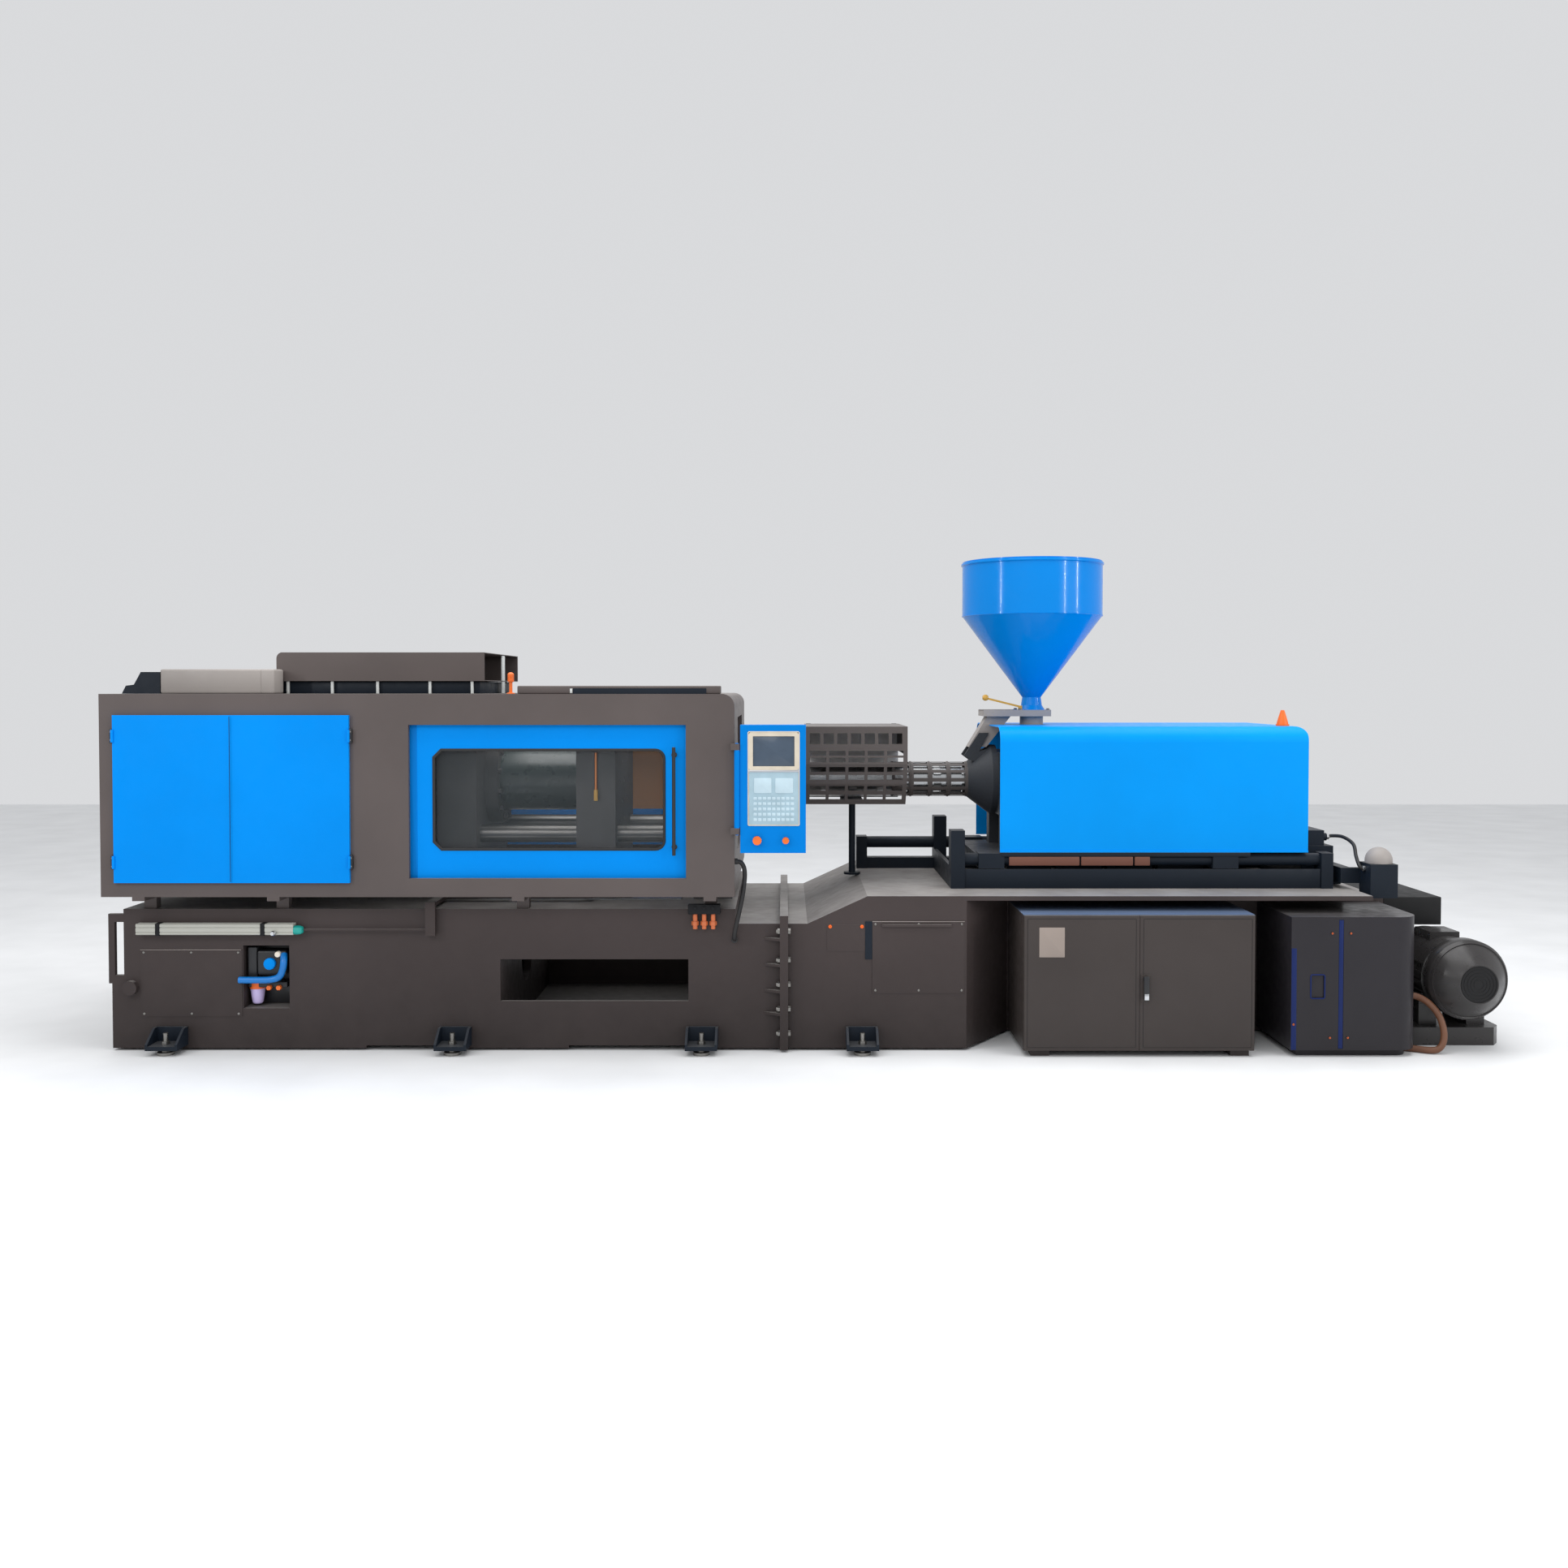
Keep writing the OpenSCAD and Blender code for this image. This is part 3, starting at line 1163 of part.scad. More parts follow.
module purge_guard() {
    pitch = (purge_l - 30) / 7;
    color(dark_grey) difference() {
        profile_x([purge_x0, purge_x1]) polygon(purge_outline(0));
        difference() {
            profile_x([purge_x0 + 4, purge_x1 - 4]) polygon([[purge_y - 4, purge_z1 - 4], [-purge_y + 4, purge_z1 - 4], [-purge_y + 4, axis_h + 95],
                [-purge_y + 49, axis_h - 9], [-purge_y + 134, purge_z0 + 4], [-59, purge_z0 + 4], [-59, axis_h + 129], [purge_y + 1, axis_h + 129]]);
        }
        // Ends stay clear of the barrel
        profile_x([purge_x0 - 1, purge_x1 + 1]) polygon([[-140, purge_z0 + 20], [-140, axis_h + 140], [purge_y + 1, axis_h + 140],
            [purge_y + 1, purge_z0 - 1], [-59, purge_z0 - 1], [-59, purge_z0 + 20]]);
        // Row of square holes, then rows of slots on the faces below
        for (i = [0:6]) block([purge_x0 + 20 + i * pitch, purge_x0 + 20 + i * pitch + pitch - 18], [-purge_y - 1, -purge_y + 5],
            [purge_z1 - 90, purge_z1 - 35]);
        for (i = [0:4]) {
            x = purge_x0 + 20 + i * 100;
            for (z = [axis_h + 105, axis_h + 140]) block([x, x + 84], [-purge_y - 1, -purge_y + 5], [z, z + 24]);
            translate([x, -purge_y, axis_h + 95]) rotate([atan2(45, 105), 0, 0]) for (z = [-46, -92]) translate([0, -3, z]) cube([84, 12, 30]);
            translate([x, -purge_y + 45, axis_h - 10]) rotate([atan2(85, 113), 0, 0]) for (z = [-50, -110]) translate([0, -3, z]) cube([84, 12, 36]);
        }
    }
    color(steel) bar_x([purge_x0 + 12, purge_x1 - 12], purge_y + 9, purge_z1 - 6, 5);
    color(dark_grey) for (x = [purge_x0 + 60, purge_x1 - 110]) block([x, x + 50], [purge_y - 1, purge_y + 9], [purge_z1 - 4, purge_z1]);
}

// Rear sheet of the purge guard with its hinge, held by a post on the table
module guard_stand() {
    y0 = purge_y + 4;
    color(dark_grey) {
        difference() {
            union() {
                block([purge_x0, purge_x1], [y0, y0 + 4], [purge_z0, purge_z1 - 14]);
                for (x = [purge_x0 + 10, purge_x1 - 36]) block([x, x + 26], [y0, y0 + 16], [purge_z1 - 30, purge_z1 + 1]);
            }
            bar_x([purge_x0, purge_x1], purge_y + 9, purge_z1 - 6, 5 + run_gap);
        }
        block([purge_x0 + 200, purge_x0 + 320], [60, y0], [purge_z0 - 12, purge_z0]);
        bar_z([table_h, purge_z0 - 12], purge_x0 + 259, 120, 18);
        bar_z([table_h, table_h + 12], purge_x0 + 259, 120, 45);
    }
}

module cabinet_shell() {
    wall = 6;
    z1 = cabinet_top;
    y0 = cabinet_y0 + cabinet_door_t + fit_gap;
    color(bed_grey) {
        difference() {
            block([cabinet_x0, cabinet_x1], [y0, -pocket_y], [cabinet_z0, z1]);
            block([cabinet_x0 + wall, cabinet_x1 - wall], [y0 + wall, -pocket_y - wall], [cabinet_z0 + wall, z1 - wall]);
            block([cabinet_x0 + 30, cabinet_x1 - 30], [y0 - 1, y0 + wall + 1], [cabinet_z0 + 30, z1 - 30]);
        }
        for (x = [cabinet_x0 + 40, cabinet_x1 - 110]) for (y = [cabinet_y0 + 30, -pocket_y - 110])
            block([x, x + 90], [y, y + 70], [0, cabinet_z0]);
    }
    // Mounting plate with its rails and switchgear
    back = -pocket_y - wall;
    color(pale) {
        block([cabinet_x0 + 50, cabinet_x1 - 50], [back - 24, back - 20], [cabinet_z0 + 50, z1 - 50]);
        for (x = [cabinet_x0 + 90, cabinet_x1 - 110], z = [cabinet_z0 + 80, z1 - 100]) block([x, x + 20], [back - 20, back], [z, z + 20]);
    }
    color(dark_grey) for (row = [0:2]) {
        z = cabinet_z0 + 100 + row * 190;
        for (i = [0:row == 0 ? 4 : 9]) {
            w = row == 0 ? 160 : 70;
            x = cabinet_x0 + 100 + i * (w + 22);
            block([x, x + w], [back - (row == 0 ? 180 : 110), back - 24], [z, z + 110]);
        }
    }
}

// Cabinet door from x[0] to x[1], its hinge edge rounded about the hinge's axis at the side given
module cabinet_leaf(x, side) {
    r = cabinet_door_t / 2;
    x0 = x[0] + 1 + (side < 0 ? r : 0);
    x1 = x[1] - 1 - (side > 0 ? r : 0);
    z = [cabinet_z0 + 1, cabinet_top - 1];
    color(bed_grey) difference() {
        union() {
            block([x0, x1], [cabinet_y0, cabinet_y0 + cabinet_door_t], z);
            bar_z(z, side < 0 ? x0 : x1, cabinet_y0 + r, r);
        }
        block([x[0] + 24, x[1] - 24], [cabinet_y0 + 3, cabinet_y0 + cabinet_door_t + 1], [cabinet_z0 + 18, cabinet_top - 18]);
    }
}

module cabinet_door_left() {
    cabinet_leaf([cabinet_x0, cabinet_mid], -1);
}

module cabinet_door_right() {
    cabinet_leaf([cabinet_mid, cabinet_x1], 1);
    color(dark_grey) block([handle_x - 22, handle_x + 22], [cabinet_y0 - 4, cabinet_y0], [handle_z - 80, handle_z + 50]);
}

module cabinet_handle() {
    color(steel) {
        bar_y([cabinet_y0 - 16, cabinet_y0 - 4 - fit_gap], handle_x, handle_z + 30, 12);
        block([handle_x - 12, handle_x + 12], [cabinet_y0 - 26, cabinet_y0 - 16], [handle_z - 70, handle_z + 44]);
    }
}

// Outline of the service cabinet with its rounded front corner, grown by -inset
module service_form(z, inset) {
    x0 = service_x0 + inset;
    x1 = service_x1 - inset;
    y0 = cabinet_y0 + inset;
    r = service_r - inset;
    block([x0, x1 - r], [y0, -pocket_y - inset], z);
    block([x0, x1], [y0 + r, -pocket_y - inset], z);
    bar_z(z, x1 - r, y0 + r, r);
}

module service_cabinet() {
    wall = 6;
    color(dark_grey) {
        difference() {
            service_form([service_z0, cabinet_top - 8], 0);
            service_form([service_z0 + wall, cabinet_top - 8 - wall], wall);
            // Gap between the panels and the recessed pull
            block([service_x0 + 228, service_x0 + 252], [cabinet_y0 - 1, cabinet_y0 + 3], [service_z0 + 6, cabinet_top - 20]);
            block([service_x0 + 96, service_x0 + 160], [cabinet_y0 - 1, cabinet_y0 + 4], [285, 400]);
        }
        service_form([0, service_z0], 40);
    }
    color(orange) for (p = [[196, 600], [285, 600], [12, 160], [188, 95], [274, 95]])
        bar_y([cabinet_y0 - 4, cabinet_y0], service_x0 + p[0], p[1], 6);
}

module pump_motor() {
    y1 = motor_y0 + 560;
    color(dark_grey) {
        bar_y([motor_y0 + 150, y1], motor_x, motor_h, stator_r);
        bar_y([y1, y1 + 30], motor_x, motor_h, stator_r + 8);
        // Cooling ribs along both sides
        for (side = [0, 180], a = [-25, -10, 5, 20]) translate([motor_x, 0, motor_h]) rotate([0, side + a, 0])
            block([stator_r - 6, stator_r + 10], [motor_y0 + 200, y1 - 20], [-4, 4]);
        for (x = [-1, 1]) block([motor_x + x * 120 - 45, motor_x + x * 120 + 45], [motor_y0 + 280, y1 - 20], [skid_z1, motor_h - 100]);
        block([motor_x - 90, motor_x + 60], [motor_y0 + 330, motor_y0 + 500], [motor_h + stator_r - 30, motor_h + stator_r + 20]);
        // Bell housing and pump
        bar_y([y1 + 30, y1 + 150], motor_x, motor_h, 120);
        bar_y([y1 + 150, y1 + 350], motor_x, motor_h, 85);
        bar_y([y1 + 180, y1 + 205], motor_x, motor_h, 105);
        block([motor_x - 60, motor_x + 60], [y1 + 230, y1 + 330], [skid_z1, motor_h - 60]);
    }
    color(bed_grey) profile_z([0, skid_z1]) polygon([[skid_x0, -620], [skid_x1 - 40, -620], [skid_x1, -570],
        [skid_x1, 200], [skid_x0, 200]]);
}

module fan_cowl() {
    front_r = 95;
    cone_l = 110;
    color(dark_grey) translate([motor_x, motor_y0, motor_h]) rotate([-90, 0, 0]) rotate_extrude()
        polygon([[0, 0], [front_r, 0], [cowl_r, cone_l], [cowl_r, 190], [cowl_r - 3, 190], [cowl_r - 3, cone_l + 2],
            [front_r - 2, 4], [60, 4], [60, 150], [0, 150]]);
}

// Hose of the pump at the right, and conduit that drops from the guard to the clamp bed, with their end collars
module hoses() {
    x = service_x1;
    g = guard_x1;
    color(dark_grey) {
        tube_along(smooth([[g + 4, -790, 940], [g + 34, -790, 930], [g + 48, -786, 880], [g + 38, -778, 780],
            [g + 18, -770, 680], [g, -764, 600], [g - 4, -750, 560], [g - 4, -wall_y - 4, 547]], 3), 11);
        bar_x([g, g + 14], -790, 940, 15);
        bar_y([-wall_y - 14, -wall_y], g - 4, 547, 15);
    }
    color([0.42, 0.26, 0.17]) tube_along(smooth([[x + 6, -690, 265], [x + 50, -700, 262], [x + 95, -728, 235],
        [x + 132, -758, 180], [x + 146, -780, 110], [x + 138, -790, 55], [x + 112, -792, 24], [x + 70, -780, 17],
        [x + 25, -752, 17], [x - 31, -728, 17]], 4), 16);
    color(steel) {
        bar_x([x, x + 16], -690, 265, 20);
        bar_x([x - 40, x - 24], -728, 17, 16.8);
    }
}

// Oil filter on a bracket of the valve block
module oil_filter() {
    y0 = filter_y - 70;
    color(dark_grey) {
        block([filter_x - 68, filter_x + 68], [y0, y0 + 140], [table_h - 28, table_h + 140]);
        block([valve_x1 - 1, filter_x - 67], [y0 + 130, y0 + 160], [table_h + 30, base_z0]);
        block([valve_x1 - 55, valve_x1], [y0 + 130, -330], [table_h + 30, base_z0]);
    }
    color(pale) {
        bar_z([table_h + 140, table_h + 155], filter_x, filter_y, filter_r);
        translate([filter_x, filter_y, table_h + 155]) sphere(r = filter_r);
    }
}

module rear_hose() {
    x = valve_x1 - 60;
    z = hood_z0 + 62;
    color(dark_grey) {
        tube_along(smooth([[x + 4, -280, z], [x + 30, -288, z + 6], [x + 70, -330, z + 4], [x + 95, -400, z - 26],
            [x + 82, -470, z - 80], [filter_x - 92, -520, z - 122], [filter_x - 76, filter_y, z - 134]], 4), 9);
        bar_x([x, x + 14], -280, z, 14);
        bar_x([filter_x - 82, filter_x - 68], filter_y, z - 134, 14);
    }
}

clamp_bed();
injection_bed();
foot_brackets();
frame_bolts();
slideways();
bed_covers();
fixed_platen();
tie_bars();
tie_bar_nuts();
cylinder_platen();
clamp_cylinder();
transducer_body();
lubricator();
oil_manifold();
guard_frame();
door_rails();
low_casing();
high_casing();
warning_lamp();
carriage_rails();
guard_stand();
cabinet_shell();
service_cabinet();
pump_motor();
fan_cowl();
hoses();
oil_filter();
rear_hose();
clamp_ram();
moving_platen();
transducer_rod();
ejector_plate();
front_door();
front_window();
cover_door_left();
cover_door_right();
rear_door();
rear_window();
panel_case();
panel_screen();
stop_button();
start_button();
carriage_base();
feed_housing();
barrel();
heater_bands();
barrel_cover();
injection_cylinders();
injection_cover();
valve_block();
hopper_slide();
hopper();
hopper_lid();
slide_lever();
thrust_plate();
screw();
purge_guard();
cabinet_door_left();
cabinet_door_right();
cabinet_handle();
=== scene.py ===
"""Horizontal injection moulding machine: camera, light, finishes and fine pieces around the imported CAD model."""
import math

import bmesh
import bpy
import numpy as np
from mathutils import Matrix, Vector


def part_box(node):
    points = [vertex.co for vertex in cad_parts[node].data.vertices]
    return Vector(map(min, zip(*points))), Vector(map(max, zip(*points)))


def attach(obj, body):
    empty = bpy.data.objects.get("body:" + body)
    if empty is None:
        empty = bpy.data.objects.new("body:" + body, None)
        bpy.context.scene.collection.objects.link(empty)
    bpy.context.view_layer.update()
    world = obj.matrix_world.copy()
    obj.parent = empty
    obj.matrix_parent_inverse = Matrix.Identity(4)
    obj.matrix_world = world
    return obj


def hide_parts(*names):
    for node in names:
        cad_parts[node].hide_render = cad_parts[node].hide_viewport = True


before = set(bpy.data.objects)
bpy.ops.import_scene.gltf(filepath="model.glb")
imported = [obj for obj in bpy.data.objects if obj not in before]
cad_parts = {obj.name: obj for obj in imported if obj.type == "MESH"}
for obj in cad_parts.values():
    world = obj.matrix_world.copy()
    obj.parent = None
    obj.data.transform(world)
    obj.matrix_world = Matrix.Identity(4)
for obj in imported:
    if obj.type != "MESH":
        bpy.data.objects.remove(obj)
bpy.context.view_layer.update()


def span(node):
    """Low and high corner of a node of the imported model."""
    low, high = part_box(node)
    return np.array(low, float), np.array(high, float)


# Camera: level eye height, distance and lens solved from the photograph
EYE_X = -0.130
EYE_Y = -7.628
EYE_Z = 1.778
LENS_MM = 32.5
SENSOR_MM = 36.0
TILT_DEG = 1.5
SHIFT_Y = -0.0374


def place_camera():
    camera_data = bpy.data.cameras.new("camera")
    camera_data.lens = LENS_MM
    camera_data.sensor_width = SENSOR_MM
    camera_data.sensor_fit = "HORIZONTAL"
    camera_data.clip_end = 100.0
    camera_data.shift_y = SHIFT_Y
    camera = bpy.data.objects.new("camera", camera_data)
    camera.location = (EYE_X, EYE_Y, EYE_Z)
    camera.rotation_euler = (math.radians(90.0 - TILT_DEG), 0.0, 0.0)
    bpy.context.collection.objects.link(camera)
    bpy.context.scene.camera = camera


place_camera()


def linear(r, g, b):
    """Display colour (0 to 255) to light: c / 12.92 below 0.04045, else ((c + 0.055) / 1.055) ^ 2.4."""
    c = np.array([r, g, b]) / 255.0
    lin = np.where(c <= 0.04045, c / 12.92, ((c + 0.055) / 1.055) ** 2.4)
    return (float(lin[0]), float(lin[1]), float(lin[2]), 1.0)


def area_light(name, place, aim, width, height, watts):
    """Rectangle of light at a place, turned so that its -Z axis runs to the aim."""
    light = bpy.data.lights.new(name, "AREA")
    light.shape = "RECTANGLE"
    light.size = width
    light.size_y = height
    light.energy = watts
    lamp = bpy.data.objects.new(name, light)
    direction = np.array(aim, float) - np.array(place, float)
    flat = math.hypot(direction[0], direction[1])
    pitch = math.atan2(flat, -direction[2])
    yaw = math.atan2(-direction[0], direction[1])
    lamp.location = place
    lamp.rotation_euler = (pitch, 0.0, yaw)
    bpy.context.collection.objects.link(lamp)


LID_LOW, LID_HIGH = span("hopper_lid")
HOPPER_X = (LID_LOW[0] + LID_HIGH[0]) / 2


def light_studio():
    """Large soft panels above, in front at the left and at the right, over a pale world."""
    area_light("key_panel", (-3.0, -7.5, 5.5), (-0.5, 0.0, 1.0), 6.0, 4.0, 130.0)
    area_light("right_panel", (6.5, -4.5, 4.0), (1.0, 0.0, 1.0), 4.0, 4.0, 60.0)
    area_light("top_panel", (0.0, -0.5, 6.5), (0.0, 0.0, 1.0), 9.0, 5.0, 420.0)
    # Narrow strips that draw upright glints on the glossy hopper
    strips = {
        "left_strip": (-4.84, -3.50, 2.85),
        "right_strip": (6.00, -5.10, 2.85),
        "side_strip": (7.62, -2.78, 2.85),
    }
    for name, place in strips.items():
        area_light(name, place, (HOPPER_X, 0.0, 2.35), 0.08, 1.0, 34.0)
    world = bpy.data.worlds.new("studio")
    bpy.context.scene.world = world
    world.use_nodes = True
    background = world.node_tree.nodes["Background"]
    background.inputs["Color"].default_value = (0.93, 0.94, 0.96, 1.0)
    background.inputs["Strength"].default_value = 0.75


bpy.context.scene.view_settings.view_transform = "Standard"
light_studio()

# A noise's useful range: below and above it, a finish keeps its end value
NOISE_LOW = 0.3
NOISE_HIGH = 0.7


def new_finish(name):
    material = bpy.data.materials.new(name)
    material.use_nodes = True
    tree = material.node_tree
    return material, tree, tree.nodes["Principled BSDF"]


def object_noise(tree, scale, detail=3.0, stretch=(1.0, 1.0, 1.0)):
    """Noise on the object's own coordinates, stretched along chosen axes."""
    coords = tree.nodes.new("ShaderNodeTexCoord")
    mapping = tree.nodes.new("ShaderNodeMapping")
    mapping.inputs["Scale"].default_value = stretch
    noise = tree.nodes.new("ShaderNodeTexNoise")
    noise.inputs["Scale"].default_value = scale
    noise.inputs["Detail"].default_value = detail
    tree.links.new(coords.outputs["Object"], mapping.inputs["Vector"])
    tree.links.new(mapping.outputs["Vector"], noise.inputs["Vector"])
    return noise.outputs["Fac"]


def ramp_between(tree, source, low_colour, high_colour):
    """Colour that runs from one tint to the other over the noise's useful range."""
    ramp = tree.nodes.new("ShaderNodeValToRGB")
    first, last = ramp.color_ramp.elements
    first.position = NOISE_LOW
    first.color = low_colour
    last.position = NOISE_HIGH
    last.color = high_colour
    tree.links.new(source, ramp.inputs["Fac"])
    return ramp.outputs["Color"]


def map_range(tree, source, to_low, to_high, from_low=NOISE_LOW, from_high=NOISE_HIGH):
    node = tree.nodes.new("ShaderNodeMapRange")
    node.inputs["From Min"].default_value = from_low
    node.inputs["From Max"].default_value = from_high
    node.inputs["To Min"].default_value = to_low
    node.inputs["To Max"].default_value = to_high
    tree.links.new(source, node.inputs["Value"])
    return node.outputs["Result"]


def scaled(colour, factor):
    return tuple(min(1.0, c * factor) for c in colour[:3]) + (1.0,)


def tone_after(tree, noise, colour, darker, lighter):
    """The colour times darker to lighter, as the noise rises."""
    return ramp_between(tree, noise, scaled(colour, darker), scaled(colour, lighter))


def roughness_after(tree, shader, noise, low, high):
    tree.links.new(map_range(tree, noise, low, high), shader.inputs["Roughness"])


def bump_from(tree, shader, source, strength, distance):
    bump = tree.nodes.new("ShaderNodeBump")
    bump.inputs["Strength"].default_value = strength
    bump.inputs["Distance"].default_value = distance
    tree.links.new(source, bump.inputs["Height"])
    tree.links.new(bump.outputs["Normal"], shader.inputs["Normal"])


# Pale dust with a painted top sheen, laid on faces that look up
DUST_AND_SHEEN = linear(176, 172, 168)
# Painted shade, darker towards the floor
LOW_SHADE = linear(24, 21, 20)


def layer_over(tree, below, coordinate, start, end, most, tint):
    """Uneven layer whose share grows with Z of the named coordinate, from none at start to most at end."""
    coords = tree.nodes.new("ShaderNodeTexCoord")
    split = tree.nodes.new("ShaderNodeSeparateXYZ")
    tree.links.new(coords.outputs[coordinate], split.inputs["Vector"])
    share = map_range(tree, split.outputs["Z"], 0.0, most, start, end)
    uneven = map_range(tree, object_noise(tree, 7.0, 6.0), 0.75, 1.1)
    amount = tree.nodes.new("ShaderNodeMath")
    amount.operation = "MULTIPLY"
    amount.use_clamp = True
    tree.links.new(share, amount.inputs[0])
    tree.links.new(uneven, amount.inputs[1])
    mix = tree.nodes.new("ShaderNodeMix")
    mix.data_type = "RGBA"
    mix.inputs["B"].default_value = tint
    tree.links.new(amount.outputs["Value"], mix.inputs["Factor"])
    tree.links.new(below, mix.inputs["A"])
    return mix.outputs["Result"]


def painted(name, colour, roughness=0.42, peel=0.06, mottle=0.10, coat=0.0, dust_and_sheen=0.0, gloss=0.3, low_shade=0.0):
    """Sprayed paint: faint mottling, orange peel, pale dust with a painted top sheen on faces that look up, and
    painted shade darker towards the floor.
    """
    material, tree, shader = new_finish(name)
    tone = tone_after(tree, object_noise(tree, 1.7, 4.0), colour, 1.0 - mottle, 1.0 + mottle)
    # Pale dust and painted sheen on faces that look up: the top lighter, standing for the light from above
    if dust_and_sheen > 0.0:
        tone = layer_over(tree, tone, "Normal", 0.75, 0.98, dust_and_sheen, DUST_AND_SHEEN)
    # Painted shade: darker towards the bottom of the object, standing for less light low down
    if low_shade > 0.0:
        tone = layer_over(tree, tone, "Object", 0.62, 0.05, low_shade, LOW_SHADE)
    tree.links.new(tone, shader.inputs["Base Color"])
    roughness_after(tree, shader, object_noise(tree, 22.0, 5.0), roughness - 0.06, roughness + 0.08)
    shader.inputs["Specular IOR Level"].default_value = gloss
    shader.inputs["Coat Weight"].default_value = coat
    shader.inputs["Coat Roughness"].default_value = 0.05
    bump_from(tree, shader, object_noise(tree, 420.0, 2.0), peel, 0.0006)
    return material


def machined(name, colour, roughness=0.28, along=(1.0, 40.0, 40.0)):
    """Turned or ground metal: fine lines along one axis in roughness and bump, and a slow change of tone."""
    material, tree, shader = new_finish(name)
    tone = tone_after(tree, object_noise(tree, 3.0, 3.0), colour, 0.88, 1.1)
    tree.links.new(tone, shader.inputs["Base Color"])
    lines = object_noise(tree, 12.0, 4.0, along)
    roughness_after(tree, shader, lines, roughness - 0.07, roughness + 0.09)
    bump_from(tree, shader, lines, 0.12, 0.0004)
    shader.inputs["Metallic"].default_value = 1.0
    return material


def moulded(name, colour, roughness=0.38, grain=0.08):
    """Moulded plastic or rubber: even colour with a fine grain."""
    material, tree, shader = new_finish(name)
    tone = tone_after(tree, object_noise(tree, 14.0, 3.0), colour, 0.93, 1.07)
    tree.links.new(tone, shader.inputs["Base Color"])
    grit = object_noise(tree, 700.0, 2.0)
    roughness_after(tree, shader, grit, roughness - 0.04, roughness + 0.06)
    bump_from(tree, shader, grit, grain, 0.0003)
    return material


def cast(name, colour):
    """Painted casting: coarse sandy bump under a dull paint."""
    material, tree, shader = new_finish(name)
    tone = tone_after(tree, object_noise(tree, 5.0, 5.0), colour, 0.85, 1.15)
    tree.links.new(tone, shader.inputs["Base Color"])
    sand = object_noise(tree, 160.0, 4.0)
    roughness_after(tree, shader, sand, 0.48, 0.66)
    bump_from(tree, shader, sand, 0.25, 0.0012)
    return material


def window_pane(name, tint):
    """Clear sheet: mostly transparent, with a thin smear in its gloss."""
    material, tree, shader = new_finish(name)
    roughness_after(tree, shader, object_noise(tree, 6.0, 4.0), 0.04, 0.12)
    shader.inputs["Base Color"].default_value = tint
    shader.inputs["Alpha"].default_value = 0.07
    shader.inputs["Specular IOR Level"].default_value = 0.25
    shader.inputs["IOR"].default_value = 1.49
    return material


